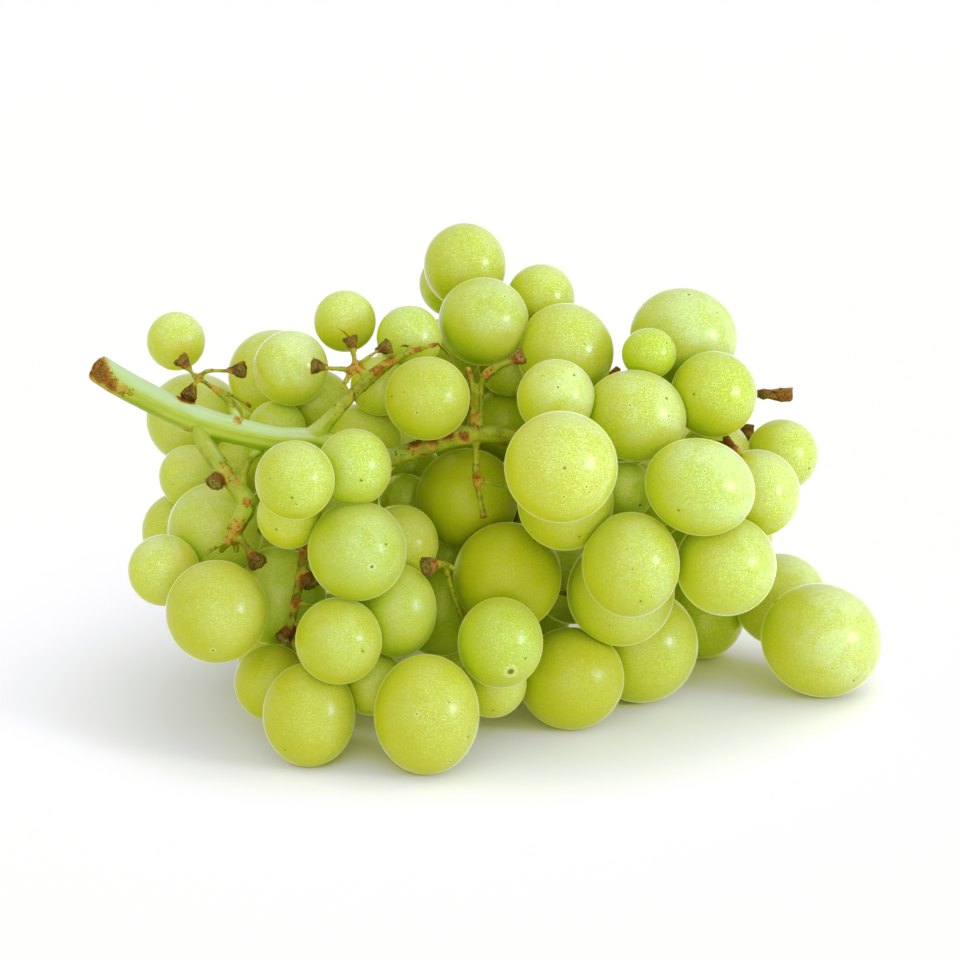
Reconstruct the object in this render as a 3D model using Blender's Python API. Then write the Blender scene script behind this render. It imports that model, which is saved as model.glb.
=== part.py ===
"""A bunch of white grapes, picked and laid on its side: a branching green stem and its berries.

Units are millimetres while the bunch is laid out, and metres once it becomes a mesh. The bunch
lies on the plane z = 0. X runs along it to the right, with the cut end of the stalk at the left,
Y runs away from the eye and Z points up.
"""

import math

import bmesh
import bpy
import numpy as np
from mathutils import Matrix, Vector

MM = 0.001

# The bunch is laid out as an eye in front of it sees it. A place is three lengths from the middle
# of the bunch: across to the right, up in the view, and back along the line of sight.
EYE_DISTANCE = 750.0
EYE_LOOKS_DOWN = math.radians(17.0)
MIDDLE_HEIGHT = 41.7

# How berries meet: those of one group are sunk into each other, other neighbours stay clear.
SUNK_SHARE = 0.92
CLEARANCE = 0.35
REST_FLAT_DEPTH = 0.45
REST_REACH = 1.6
SETTLING_STEPS = 500
FREEZING_STEPS = 300
LINKS_CHOSEN_EVERY = 50
LINK_PULL = 0.25
ASIDE_EASE = 0.3
HOME_PULL = 0.12
FLOOR_PULL = 0.05
STEP_SHARE = 0.9

# Berries out of sight at the back, which a seeded rule sets against the others.
BACK_BERRIES = 34
BACK_SEED = 11
BACK_SIZES = (7.6, 10.2)
BACK_DIRECTIONS = 150
BACK_SUNK_SHARE = 0.919
COVER_RINGS = ((0.0, 1), (0.3, 6), (0.55, 12), (0.8, 18), (1.0, 24))
ENVELOPE_MIDDLE = (4.0, -4.0, 36.0)
ENVELOPE_HALF = (72.0, 47.0, 50.0)

BERRY_POINTS = 40
BERRY_TURNS = (2.4, 1.7)
REST_RING_POINTS = 8
REST_FLAT_LEAST = 1.2
STALK_SIDES = 8
TWIG_SIDES = 6
CURVE_BULGE = 0.125
PEDICEL_SIDES = 4
SEAM_HINT = (0.31, 0.22, 0.93)
PEDICEL_RADIUS = 0.7
PEDICEL_CAP_RADIUS = 1.3
PEDICEL_NECK = 1.8
PEDICEL_SHORTEST = 1.0
PEDICEL_LONGEST = 14.0
RUN_END_REACH = 1.7
ROOT_SHARES = (0.0, 0.33, 0.67)

# Berries in view, some only through the gaps between others, and the first ones at the back:
# across, up, back, half width, half height and, for a few, the lean in degrees.
BERRIES = {
    "berries_left_shoulder": (
        (-57.0, 12.2, -1.0, 10.0, 9.5),
        (-58.0, 0.8, -10.0, 6.4, 6.4),
        (-53.4, -9.4, -19.0, 9.7, 9.7),
        (-59.8, -10.2, -4.0, 8.0, 8.0),
        (-63.3, -18.1, -28.0, 7.3, 7.3),
        (-52.4, -26.0, -37.0, 10.4, 10.5),
        (-40.0, -24.0, -18.0, 10.0, 10.0),
        (-48.0, 2.6, -5.0, 6.4, 6.4),
    ),
    "berries_front_left": (
        (-37.0, 0.0, -52.0, 8.1, 8.1),
        (-25.2, 2.2, -44.0, 7.6, 7.9),
        (-38.0, -7.2, -40.5, 6.7, 6.7),
        (-24.6, -13.9, -48.0, 10.1, 10.3),
        (-28.4, -32.3, -45.0, 8.8, 8.9),
        (-34.2, -46.8, -37.4, 9.4, 10.6),
        (-16.4, -25.6, -37.0, 8.2, 9.6),
        (-16.0, -12.6, -29.0, 7.8, 7.8),
        (-10.0, -46.2, -40.0, 10.7, 12.2),
        (-41.6, -40.4, -24.0, 7.6, 7.8),
        (-21.6, -40.6, -31.0, 6.6, 6.6),
    ),
    "berries_upper_left": (
        (-37.8, 22.4, -27.0, 7.6, 7.7),
        (-41.2, 21.0, -9.0, 9.3, 9.3),
        (-32.4, 15.2, -16.0, 7.0, 7.0),
        (-40.6, 10.4, -23.0, 5.8, 5.6),
        (-23.6, 6.6, -23.0, 8.2, 8.2),
        (-21.6, 20.0, -25.0, 6.0, 6.0),
        (-16.0, 10.0, -12.0, 7.0, 7.0),
        (-11.0, 16.8, -35.5, 8.6, 8.5),
        (-14.0, 28.6, -25.0, 6.6, 6.6),
    ),
    "berries_crown": (
        (0.4, 31.8, -22.0, 9.2, 9.0),
        (-3.0, 43.0, -10.5, 8.4, 8.6),
        (-5.6, 39.2, 3.0, 6.7, 6.7),
        (12.2, 36.4, -8.0, 6.9, 6.9),
        (17.4, 25.4, -18.0, 9.8, 10.0),
        (6.0, 23.0, -8.0, 6.4, 6.4),
        (5.0, 11.0, -6.0, 7.6, 7.6),
        (-6.6, 25.6, -11.0, 7.0, 7.0),
        (-1.6, 17.0, 2.0, 6.6, 6.6),
    ),
    "berries_centre": (
        (-2.6, -4.0, -17.0, 10.4, 10.4),
        (5.4, -19.4, -27.0, 11.0, 11.2),
        (3.4, -33.1, -40.0, 8.7, 9.3),
        (-8.0, -26.4, -13.0, 9.0, 9.0),
        (-15.0, -4.0, -11.0, 5.4, 5.4),
        (-14.0, 3.0, -6.0, 5.8, 5.8),
        (2.6, -40.6, -28.0, 7.0, 7.0),
        (-6.2, -14.8, -4.5, 6.6, 6.6),
        (-5.6, -34.6, -4.0, 5.6, 5.6),
    ),
    "berries_front_right": (
        (16.2, 2.6, -56.0, 11.6, 11.5),
        (17.2, -4.6, -38.5, 9.8, 9.8),
        (30.3, -16.6, -43.5, 10.0, 10.8),
        (28.2, -22.4, -24.5, 11.0, 11.1),
        (29.0, -2.0, -26.0, 6.0, 6.0),
        (33.0, -34.2, -7.8, 11.7, 11.7),
        (18.2, -39.6, -18.5, 10.8, 10.4),
        (17.6, -19.8, -6.0, 8.2, 8.2),
        (35.2, -2.4, -16.5, 6.8, 6.8),
    ),
    "berries_upper_right": (
        (15.2, 16.4, -34.0, 7.9, 7.9),
        (31.2, 12.8, -33.0, 10.4, 9.3, -14.0),
        (33.4, 25.0, -27.0, 5.5, 5.2),
        (46.8, 16.8, -27.0, 8.8, 8.8),
        (40.8, 28.6, -15.0, 11.0, 10.0, -12.0),
    ),
    "berries_right": (
        (43.6, -1.4, -38.0, 11.3, 9.8, -18.0),
        (55.2, -1.8, -23.0, 8.8, 8.9),
        (60.0, 5.2, -11.0, 7.3, 7.3),
        (49.2, -17.4, -29.0, 10.2, 10.2),
        (42.0, -15.0, -11.0, 6.0, 6.0),
        (53.0, -11.0, -13.0, 6.0, 6.0),
        (47.0, 5.0, -13.0, 7.2, 7.2),
    ),
    "berries_far_right": (
        (68.2, -32.0, -1.9, 12.4, 11.5, -20.0),
        (60.0, -24.0, 14.0, 9.5, 9.5),
        (44.4, -27.4, 19.6, 8.8, 8.8),
    ),
    "berry_lone_left": (
        (-60.8, 27.8, -10.0, 6.0, 6.0),
    ),
    "berry_lone_top": (
        (-27.0, 31.8, -19.0, 6.3, 6.3),
    ),
    "berries_back_left": (
        (-37.0, -27.0, 19.0, 8.8, 8.8),
    ),
    "berries_back_low": (
        (8.8, -25.2, 28.0, 10.0, 10.0),
    ),
    "berries_back_middle": (
        (14.0, 4.0, 34.0, 9.4, 9.4),
        (-3.6, 6.8, 31.0, 9.0, 9.0),
    ),
}

# The stalk and the laterals that leave it: across, up, back and radius along each run.
STALK = (
    (-76.6, 22.4, -24.0, 2.7),
    (-70.0, 18.4, -26.0, 2.7),
    (-62.0, 14.4, -28.5, 2.7),
    (-56.0, 11.8, -31.0, 2.7),
    (-48.0, 9.6, -33.5, 2.5),
    (-40.0, 8.0, -35.5, 2.4),
    (-33.6, 7.8, -36.0, 2.4),
    (-26.0, 5.6, -33.5, 2.0),
    (-18.0, 4.4, -31.0, 2.0),
    (-8.0, 7.6, -30.0, 1.9),
    (-1.0, 9.2, -29.0, 2.0),
    (5.6, 8.8, -26.5, 1.6),
    (12.0, 7.8, -23.0, 1.6),
    (20.0, 5.6, -17.0, 1.6),
    (28.0, 2.4, -10.0, 1.5),
    (37.0, -1.0, -2.0, 1.4),
    (46.0, -5.0, 4.0, 1.2),
    (53.0, -10.0, 9.0, 1.0),
)

LATERALS = (
    # down to the left shoulder
    (
        (-56.0, 11.2, -31.5, 2.0),
        (-54.8, 7.0, -32.5, 2.0),
        (-52.4, 3.4, -33.5, 1.9),
        (-49.8, -0.4, -34.0, 1.8),
        (-46.6, -4.6, -34.0, 2.1),
        (-48.0, -8.0, -34.0, 1.9),
        (-49.4, -10.6, -34.0, 1.8),
    ),
    # up past the upper left berries
    (
        (-33.6, 8.4, -36.0, 2.2),
        (-30.4, 11.8, -36.0, 1.8),
        (-26.0, 16.6, -35.5, 1.6),
        (-22.4, 20.0, -35.0, 1.6),
        (-19.0, 22.8, -34.5, 1.5),
        (-16.0, 24.6, -33.5, 1.2),
        (-12.0, 26.2, -32.0, 0.9),
        (-8.4, 27.2, -31.0, 0.8),
    ),
    # the pair that stands up under the crown
    (
        (-1.4, 9.2, -29.0, 1.0),
        (-1.6, 15.2, -30.0, 0.9),
        (-1.6, 19.0, -30.0, 0.9),
        (-2.6, 22.8, -30.0, 1.0),
    ),
    (
        (0.0, 9.2, -29.0, 1.0),
        (0.2, 15.2, -30.0, 0.8),
        (0.4, 19.2, -30.0, 0.8),
        (1.4, 21.2, -30.5, 1.2),
        (4.0, 22.8, -30.5, 0.9),
        (6.4, 23.8, -30.0, 0.8),
    ),
    # the twig that hangs below the same node
    (
        (-0.8, 8.8, -29.0, 1.2),
        (-0.8, 4.0, -30.0, 1.0),
        (-0.6, 0.4, -30.5, 1.3),
        (-0.2, -2.8, -30.5, 0.9),
        (0.8, -7.8, -30.0, 1.1),
    ),
    # down to the lowest berries at the left
    (
        (-33.2, 7.0, -35.0, 1.4),
        (-32.4, 0.0, -30.0, 1.2),
        (-33.6, -8.0, -26.5, 1.2),
        (-35.2, -14.0, -28.0, 1.3),
        (-36.0, -19.0, -29.5, 1.1),
        (-36.8, -24.0, -30.0, 1.2),
        (-37.6, -28.4, -30.0, 1.0),
        (-36.8, -34.4, -28.0, 0.7),
    ),
    # behind the centre berries
    (
        (2.0, 8.8, -27.0, 1.4),
        (8.4, 5.6, -16.0, 1.3),
        (8.0, -4.0, -5.0, 1.2),
        (6.4, -16.0, -7.0, 1.1),
        (4.6, -26.0, -11.0, 1.0),
        (3.0, -32.0, -14.0, 0.9),
    ),
    (
        (4.0, -29.0, -12.5, 0.8),
        (-1.6, -30.0, -24.0, 0.7),
        (-4.4, -25.8, -29.0, 0.7),
        (-6.2, -20.0, -32.0, 0.7),
        (-7.2, -16.6, -34.5, 0.9),
    ),
    # up behind the right hand berries
    (
        (34.0, 0.0, -5.0, 1.3),
        (44.0, 8.0, -1.0, 1.1),
        (50.0, 14.4, -5.0, 0.9),
        (55.4, 17.4, -13.0, 0.9),
    ),
    # three that run to the back
    (
        (-5.0, 8.4, -29.5, 1.4),
        (-5.0, 8.6, -14.0, 1.2),
        (-7.0, 9.0, 2.0, 1.1),
        (-14.0, 8.0, 18.0, 1.0),
    ),
    (
        (19.0, 5.8, -18.0, 1.4),
        (18.0, 8.8, -2.0, 1.2),
        (16.0, 11.0, 14.0, 1.1),
        (14.0, 11.0, 27.0, 1.0),
    ),
    (
        (35.0, -0.4, -4.0, 1.3),
        (34.0, -8.0, 10.0, 1.1),
        (32.0, -13.6, 22.0, 1.0),
    ),
)

# Bare pedicels, which have lost their berry and end in a swollen knob or a torn stub.
BARE_PEDICELS = (
    # the twig behind the stalk at the upper left, with three knobs and a torn tip
    ((-48.0, 10.4, -32.0, 0.9), (-49.8, 15.2, -30.5, 1.0), (-53.2, 18.2, -29.5, 0.7), (-56.2, 20.4, -29.0, 0.7)),
    ((-53.4, 18.6, -29.5, 0.6), (-50.0, 17.2, -29.0, 0.6), (-45.6, 14.6, -28.0, 0.5)),
    ((-56.2, 20.4, -29.0, 0.6), (-58.0, 21.8, -29.0, 0.6), (-59.6, 23.8, -29.0, 1.5)),
    ((-56.2, 20.4, -29.0, 0.7), (-54.6, 21.8, -29.0, 0.7), (-49.6, 21.8, -29.5, 0.7), (-47.8, 22.0, -29.5, 1.7)),
    ((-56.4, 20.2, -29.0, 0.7), (-57.4, 18.6, -29.0, 0.7), (-58.2, 17.0, -29.5, 1.6)),
    ((-57.0, 20.0, -28.5, 0.6), (-58.0, 22.4, -22.0, 0.6), (-58.8, 24.0, -15.6, 1.1)),
    # the twig on the upper lateral
    ((-22.0, 20.4, -35.0, 1.2), (-24.4, 22.4, -35.5, 1.2), (-25.6, 22.0, -35.5, 1.2)),
    ((-25.6, 22.0, -35.5, 0.8), (-28.0, 22.2, -35.5, 0.7), (-31.0, 22.4, -35.5, 0.7), (-33.0, 22.8, -35.5, 1.6)),
    ((-25.2, 22.6, -35.5, 0.8), (-25.2, 25.6, -35.0, 0.7), (-26.0, 28.2, -34.5, 1.6)),
    ((-24.8, 22.6, -35.4, 0.8), (-25.4, 25.0, -30.0, 0.6), (-26.2, 27.6, -24.6, 1.1)),
    ((-24.4, 23.0, -35.5, 0.7), (-22.0, 24.8, -35.5, 0.6), (-20.0, 26.0, -35.5, 0.6), (-18.6, 26.6, -35.5, 1.6)),
    ((-25.6, 21.6, -35.8, 0.9), (-27.8, 18.2, -37.0, 0.8)),
    ((-12.8, 25.8, -32.2, 0.6), (-14.6, 26.8, -32.6, 0.8)),
    # the forks at the foot of the left lateral
    ((-49.4, -10.6, -34.0, 1.2), (-50.6, -12.6, -34.0, 1.0), (-52.0, -14.4, -32.5, 0.8)),
    ((-49.2, -10.6, -34.0, 1.0), (-48.6, -14.6, -32.0, 0.8)),
    ((-49.0, -10.6, -34.0, 1.1), (-46.6, -13.6, -34.5, 0.9), (-44.6, -16.4, -36.0, 1.9)),
    ((-50.0, -11.6, -34.0, 0.7), (-53.0, -13.6, -35.0, 0.6), (-55.0, -14.8, -35.6, 0.8)),
    ((-51.6, 2.2, -34.0, 0.8), (-53.0, -0.4, -36.0, 1.9)),
    ((-47.8, -1.4, -34.0, 1.1), (-46.4, 3.6, -33.6, 1.0), (-43.6, 6.2, -33.0, 0.9)),
    # two knobs on the lateral below
    ((-35.8, -16.8, -29.2, 0.7), (-33.9, -20.4, -31.0, 1.8)),
    ((-37.6, -28.2, -30.0, 0.7), (-39.2, -31.4, -31.0, 1.7)),
    # the knob and the short green stub between the centre berries
    ((-7.2, -16.6, -34.5, 0.7), (-10.4, -17.2, -36.4, 1.9)),
    ((-7.2, -16.6, -35.0, 0.7), (-4.8, -18.0, -37.0, 0.8)),
    # side twigs of the stems under the crown
    ((6.0, 23.6, -30.2, 0.8), (8.2, 24.6, -30.0, 1.7)),
    ((-0.4, 0.2, -30.5, 0.7), (5.0, -1.4, -29.0, 0.6)),
    # the twigs at the right, the last with a dried bud
    ((21.0, 6.2, -17.0, 0.9), (22.4, 13.0, -20.0, 0.8), (24.8, 19.6, -24.0, 0.6), (27.8, 22.4, -26.0, 0.9)),
    ((46.4, 10.6, -2.6, 0.8), (51.4, 10.6, -5.0, 0.8), (54.0, 9.7, -7.2, 1.9)),
    ((36.6, 2.2, -3.6, 0.8), (38.2, 4.0, -13.0, 0.7), (39.5, 5.5, -21.0, 0.7), (46.6, 7.6, -22.0, 0.7),
     (51.4, 5.8, -28.5, 1.3)),
    ((55.4, 17.4, -13.0, 0.9), (58.2, 17.0, -13.4, 1.1), (60.4, 17.0, -14.0, 1.7), (62.6, 17.0, -14.0, 1.4)),
)

BERRY_COLOUR = (0.52, 0.60, 0.08, 1.0)
BERRY_ROUGHNESS = 0.35
STEM_COLOUR = (0.38, 0.52, 0.16, 1.0)
STEM_ROUGHNESS = 0.6

RIGHT = np.array((1.0, 0.0, 0.0))
UPWARD = np.array((0.0, math.sin(EYE_LOOKS_DOWN), math.cos(EYE_LOOKS_DOWN)))
AHEAD = np.array((0.0, math.cos(EYE_LOOKS_DOWN), -math.sin(EYE_LOOKS_DOWN)))
MIDDLE = np.array((0.0, 0.0, MIDDLE_HEIGHT))
EYE = MIDDLE - EYE_DISTANCE * AHEAD


def place(across, up, back):
    """The point that the eye sees at this place."""
    spread = 1.0 + back / EYE_DISTANCE
    return MIDDLE + back * AHEAD + spread * (across * RIGHT + up * UPWARD)


class Berries:
    """Centres, half sizes along their own axes, and groups of all the berries."""

    def __init__(self):
        self.centre = []
        self.half = []
        self.axes = []
        self.group = []

    def add(self, centre, half, axes, group):
        self.centre.append(centre)
        self.half.append(half)
        self.axes.append(axes)
        self.group.append(group)

    def pack(self):
        """Turn the lists into arrays."""
        self.centre = np.array(self.centre, dtype=float)
        self.half = np.array(self.half, dtype=float)
        self.axes = np.array(self.axes, dtype=float)

    def reach(self, direction):
        """How far each berry reaches from its centre along a direction, given per berry."""
        local = np.einsum("nij,nj->ni", self.axes, direction)
        return np.sqrt(np.sum((local * self.half) ** 2, axis=1))


def seen_berries():
    """The berries in view, at the places and sizes given above."""
    berries = Berries()
    for group, rows in BERRIES.items():
        for across, up, back, half_width, half_height, *lean in rows:
            spread = 1.0 + back / EYE_DISTANCE
            turn = math.radians(lean[0]) if lean else 0.0
            wide = math.cos(turn) * RIGHT + math.sin(turn) * UPWARD
            tall = -math.sin(turn) * RIGHT + math.cos(turn) * UPWARD
            deep = min(half_width, half_height)
            half = np.array((half_width, half_height, deep)) * spread
            berries.add(place(across, up, back), half, np.array((wide, tall, AHEAD)), group)
    berries.pack()
    return berries


def halved(values):
    """The values of a run with one more between each two, on a smooth curve through them all."""
    first = 2.0 * values[:1] - values[1:2]
    last = 2.0 * values[-1:] - values[-2:-1]
    longer = np.concatenate((first, values, last))
    middles = 0.5 * (longer[1:-2] + longer[2:-1])
    outer_middles = 0.5 * (longer[:-3] + longer[3:])
    result = np.zeros((2 * len(values) - 1, values.shape[1]))
    result[0::2] = values
    result[1::2] = middles + CURVE_BULGE * (middles - outer_middles)
    return result


def stem_runs():
    """Every run of the stem as points and radii, the stalk first."""
    runs = []
    for run in (STALK, *LATERALS, *BARE_PEDICELS):
        steps = halved(np.array([(*place(*step[:3]), step[3]) for step in run]))
        runs.append((steps[:, :3], steps[:, 3]))
    return runs


def stem_pieces(runs):
    """The straight pieces of the runs: starts, ends and radii."""
    starts = np.concatenate([points[:-1] for points, _ in runs])
    ends = np.concatenate([points[1:] for points, _ in runs])
    radii = np.concatenate([np.maximum(radii[:-1], radii[1:]) for _, radii in runs])
    return starts, ends, radii


def nearest_on_pieces(point, starts, ends):
    """The nearest point of each piece to a point."""
    along = ends - starts
    length2 = np.sum(along ** 2, axis=1)
    share = np.clip(np.sum((point - starts) * along, axis=1) / length2, 0.0, 1.0)
    return starts + share[:, None] * along


def pair_lengths(berries, first, second):
    """Direction, distance and summed reach of pairs of berries."""
    gap = berries.centre[second] - berries.centre[first]
    distance = np.linalg.norm(gap, axis=1)
    direction = gap / distance[:, None]
    local_first = np.einsum("nij,nj->ni", berries.axes[first], direction)
    local_second = np.einsum("nij,nj->ni", berries.axes[second], direction)
    reach = np.sqrt(np.sum((local_first * berries.half[first]) ** 2, axis=1))
    reach += np.sqrt(np.sum((local_second * berries.half[second]) ** 2, axis=1))
    return direction, distance, reach


def group_links(berries):
    """The shortest links that join all the berries of each group."""
    links = []
    for group in dict.fromkeys(berries.group):
        members = [index for index, name in enumerate(berries.group) if name == group]
        joined = members[:1]
        waiting = members[1:]
        while waiting:
            pairs = [(here, there) for here in joined for there in waiting]
            first, second = np.array(pairs).T
            _, distance, reach = pair_lengths(berries, first, second)
            here, there = pairs[int(np.argmin(distance / reach))]
            links.append((here, there))
            joined.append(there)
            waiting.remove(there)
    return links


def push_from_stem(berries, pieces):
    """Push every berry clear of the stem."""
    starts, ends, radii = pieces
    for index in range(len(berries.centre)):
        nearest = nearest_on_pieces(berries.centre[index], starts, ends)
        gap = berries.centre[index] - nearest
        distance = np.linalg.norm(gap, axis=1)
        direction = gap / distance[:, None]
        local = direction @ berries.axes[index].T
        reach = np.sqrt(np.sum((local * berries.half[index]) ** 2, axis=1))
        short = reach + radii + CLEARANCE - distance
        worst = int(np.argmax(short))
        if short[worst] > 0.0:
            berries.centre[index] += short[worst] * direction[worst]


def pair_pushes(berries, first, second, same):
    """Moves that part the pairs that are too close: half of the shortfall to each berry."""
    direction, distance, reach = pair_lengths(berries, first, second)
    wanted = np.where(same, SUNK_SHARE * reach, reach + CLEARANCE)
    push = 0.5 * np.maximum(wanted - distance, 0.0)[:, None] * direction
    move = np.zeros(berries.centre.shape)
    np.add.at(move, first, -push)
    np.add.at(move, second, push)
    return move


def link_pulls(berries, links):
    """Moves that bring linked berries together until they are sunk into each other."""
    first, second = np.array(links).T
    direction, distance, reach = pair_lengths(berries, first, second)
    pull = LINK_PULL * np.maximum(distance - SUNK_SHARE * reach, 0.0)[:, None] * direction
    move = np.zeros(berries.centre.shape)
    np.add.at(move, first, pull)
    np.add.at(move, second, -pull)
    return move


def settle(berries, pieces):
    """Press the berries together in their groups and clear of all else, kept as they are seen."""
    count = len(berries.centre)
    start = berries.centre.copy()
    sight = start - EYE
    sight /= np.linalg.norm(sight, axis=1)[:, None]
    bottom = berries.reach(np.tile((0.0, 0.0, 1.0), (count, 1)))
    resting = start[:, 2] - bottom < REST_REACH
    first, second = np.triu_indices(count, 1)
    groups = np.array(berries.group)
    same = groups[first] == groups[second]
    for step in range(SETTLING_STEPS + FREEZING_STEPS):
        if step % LINKS_CHOSEN_EVERY == 0:
            links = group_links(berries)
        move = pair_pushes(berries, first, second, same) + link_pulls(berries, links)
        if step < SETTLING_STEPS:
            along = np.sum(move * sight, axis=1)[:, None] * sight
            move = along + ASIDE_EASE * (move - along)
            drift = berries.centre - start
            aside = drift - np.sum(drift * sight, axis=1)[:, None] * sight
            move -= HOME_PULL * aside
            lift = np.where(resting, berries.centre[:, 2] - bottom + REST_FLAT_DEPTH, 0.0)
            move -= FLOOR_PULL * (lift / sight[:, 2])[:, None] * sight
        berries.centre += STEP_SHARE * move
        push_from_stem(berries, pieces)
        berries.centre[:, 2] = np.maximum(berries.centre[:, 2], bottom - REST_FLAT_DEPTH)


def golden_directions(count):
    """Evenly spread directions."""
    index = np.arange(count)
    height = 1.0 - 2.0 * (index + 0.5) / count
    ring = np.sqrt(1.0 - height ** 2)
    turn = index * math.pi * (3.0 - math.sqrt(5.0))
    return np.column_stack((ring * np.cos(turn), ring * np.sin(turn), height))


def hidden_points(points, centres, radii):
    """Which points the eye can't see, because a ball with this centre and radius is before them."""
    sight = points - EYE
    distance = np.linalg.norm(sight, axis=1)
    sight = sight / distance[:, None]
    to_centre = centres - EYE
    along = sight @ to_centre.T
    aside2 = np.sum(to_centre ** 2, axis=1)[None, :] - along ** 2
    inside2 = radii[None, :] ** 2 - aside2
    enters = along - np.sqrt(np.maximum(inside2, 0.0))
    return np.any((inside2 > 0.0) & (enters < distance[:, None]), axis=1)


def hidden_balls(spots, radius, centres, radii):
    """Which new balls of this radius the eye can't see at all."""
    hidden = np.ones(len(spots), dtype=bool)
    for ring_share, ring_count in COVER_RINGS:
        before = -radius * math.sqrt(1.0 - ring_share ** 2) * AHEAD
        for turn in np.arange(ring_count) * 2.0 * math.pi / ring_count:
            edge = ring_share * radius * (math.cos(turn) * RIGHT + math.sin(turn) * UPWARD)
            hidden &= hidden_points(spots + before + edge, centres, radii)
    return hidden


def clear_of_stem(centres, radius, pieces):
    """Which round berries of this radius stay clear of the stem."""
    starts, ends, radii = pieces
    along = ends - starts
    length2 = np.sum(along ** 2, axis=1)
    offset = centres[:, None, :] - starts[None, :, :]
    share = np.clip(np.einsum("ijk,jk->ij", offset, along) / length2, 0.0, 1.0)
    gap = np.linalg.norm(offset - share[:, :, None] * along[None, :, :], axis=2)
    return np.all(gap > radius + radii + CLEARANCE, axis=1)


def add_back_berries(berries, pieces):
    """Fill the back: each new berry is sunk into one that is there, out to the bunch's outline."""
    draw = np.random.default_rng(BACK_SEED)
    seen_centres = berries.centre.copy()
    seen_radii = np.min(berries.half, axis=1)
    directions = golden_directions(BACK_DIRECTIONS)
    envelope_middle = np.array(ENVELOPE_MIDDLE)
    envelope_half = np.array(ENVELOPE_HALF)
    centre = list(berries.centre)
    half = list(berries.half)
    axes = list(berries.axes)
    group = list(berries.group)
    for _ in range(BACK_BERRIES):
        radius = draw.uniform(*BACK_SIZES)
        sizes = np.mean(np.array(half), axis=1)
        hosts = np.array(centre)
        reach = SUNK_SHARE * (sizes + radius)
        spots = (hosts[:, None, :] + reach[:, None, None] * directions[None, :, :]).reshape(-1, 3)
        host = np.repeat(np.arange(len(hosts)), len(directions))
        level = np.linalg.norm((spots - envelope_middle) / (envelope_half - radius), axis=1)
        keep = (level < 1.0) & (spots[:, 2] > radius - REST_FLAT_DEPTH)
        spots, host, level = spots[keep], host[keep], level[keep]
        groups = np.array(group)
        gap = np.linalg.norm(spots[:, None, :] - hosts[None, :, :], axis=2)
        biggest = np.max(np.array(half), axis=1)
        same = groups[host][:, None] == groups[None, :]
        wanted = np.where(same, BACK_SUNK_SHARE * (sizes + radius), biggest + radius + CLEARANCE)
        keep = np.all(gap >= wanted, axis=1)
        spots, host, level = spots[keep], host[keep], level[keep]
        keep = clear_of_stem(spots, radius, pieces)
        spots, host, level = spots[keep], host[keep], level[keep]
        keep = hidden_balls(spots, radius, seen_centres, seen_radii)
        spots, host, level = spots[keep], host[keep], level[keep]
        if len(spots) == 0:
            continue
        best = int(np.argmax(level))
        centre.append(spots[best])
        half.append(np.full(3, radius))
        axes.append(np.array((RIGHT, UPWARD, AHEAD)))
        group.append(group[host[best]])
    berries.centre, berries.half, berries.axes, berries.group = centre, half, axes, group
    berries.pack()


def pedicel_choices(berries, index, roots, size):
    """Straight pedicels from the stem to one berry that cross no other berry, the shortest first."""
    centre = berries.centre[index]
    gap = roots - centre
    distance = np.linalg.norm(gap, axis=1)
    direction = gap / distance[:, None]
    local = direction @ berries.axes[index].T
    reach = np.sqrt(np.sum((local * berries.half[index]) ** 2, axis=1))
    others = np.arange(len(berries.centre)) != index
    choices = []
    for best in np.argsort(distance - reach):
        length = distance[best] - reach[best] - CLEARANCE
        if length > PEDICEL_LONGEST:
            break
        if length < PEDICEL_SHORTEST:
            continue
        tip = centre + direction[best] * (reach[best] + CLEARANCE)
        along = roots[best] - tip
        share = (berries.centre[others] - tip) @ along / np.sum(along ** 2)
        near = tip + np.clip(share, 0.0, 1.0)[:, None] * along
        room = np.linalg.norm(berries.centre[others] - near, axis=1) - size[others]
        if np.all(room > PEDICEL_CAP_RADIUS + CLEARANCE):
            neck = tip + direction[best] * min(PEDICEL_NECK, 0.5 * length)
            choices.append(np.array((roots[best], neck, tip)))
    return choices


def reached_by_run(berries, index, runs):
    """Whether a run of the stem already ends at this berry."""
    ends = np.array([points[-1] for points, _ in runs])
    local = (ends - berries.centre[index]) @ berries.axes[index].T / berries.half[index]
    height = (np.linalg.norm(local, axis=1) - 1.0) * np.mean(berries.half[index])
    return np.min(height) < RUN_END_REACH


def pedicel_runs(berries, runs):
    """Pedicels out of the eye's sight, and one in sight for a group that has no other."""
    roots = []
    for points, _ in runs[:1 + len(LATERALS)]:
        for start, end in zip(points[:-1], points[1:]):
            for share in ROOT_SHARES:
                roots.append(start + share * (end - start))
    roots = np.array(roots)
    size = np.max(berries.half, axis=1)
    radii = np.min(berries.half, axis=1)
    chosen = {}
    in_sight = {}
    for index, group in enumerate(berries.group):
        if reached_by_run(berries, index, runs):
            chosen.setdefault(group, [])
            continue
        for points in pedicel_choices(berries, index, roots, size):
            inner = points[0] + np.array(ROOT_SHARES)[1:, None] * (points[2] - points[0])
            if np.all(hidden_points(np.concatenate((inner, points[2:])), berries.centre, radii)):
                chosen.setdefault(group, []).append(points)
                break
            in_sight.setdefault(group, []).append(points)
    for group in dict.fromkeys(berries.group):
        if group not in chosen and group in in_sight:
            lengths = [np.linalg.norm(points[2] - points[0]) for points in in_sight[group]]
            chosen[group] = [in_sight[group][int(np.argmin(lengths))]]
    thickness = np.array((PEDICEL_RADIUS, PEDICEL_RADIUS, PEDICEL_CAP_RADIUS))
    return [(points, thickness) for pedicels in chosen.values() for points in pedicels]


def new_object(name, mesh, material):
    """An object with smooth shading and its material."""
    thing = bpy.data.objects.new(name, mesh)
    bpy.context.scene.collection.objects.link(thing)
    mesh.materials.append(material)
    return thing


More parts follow.
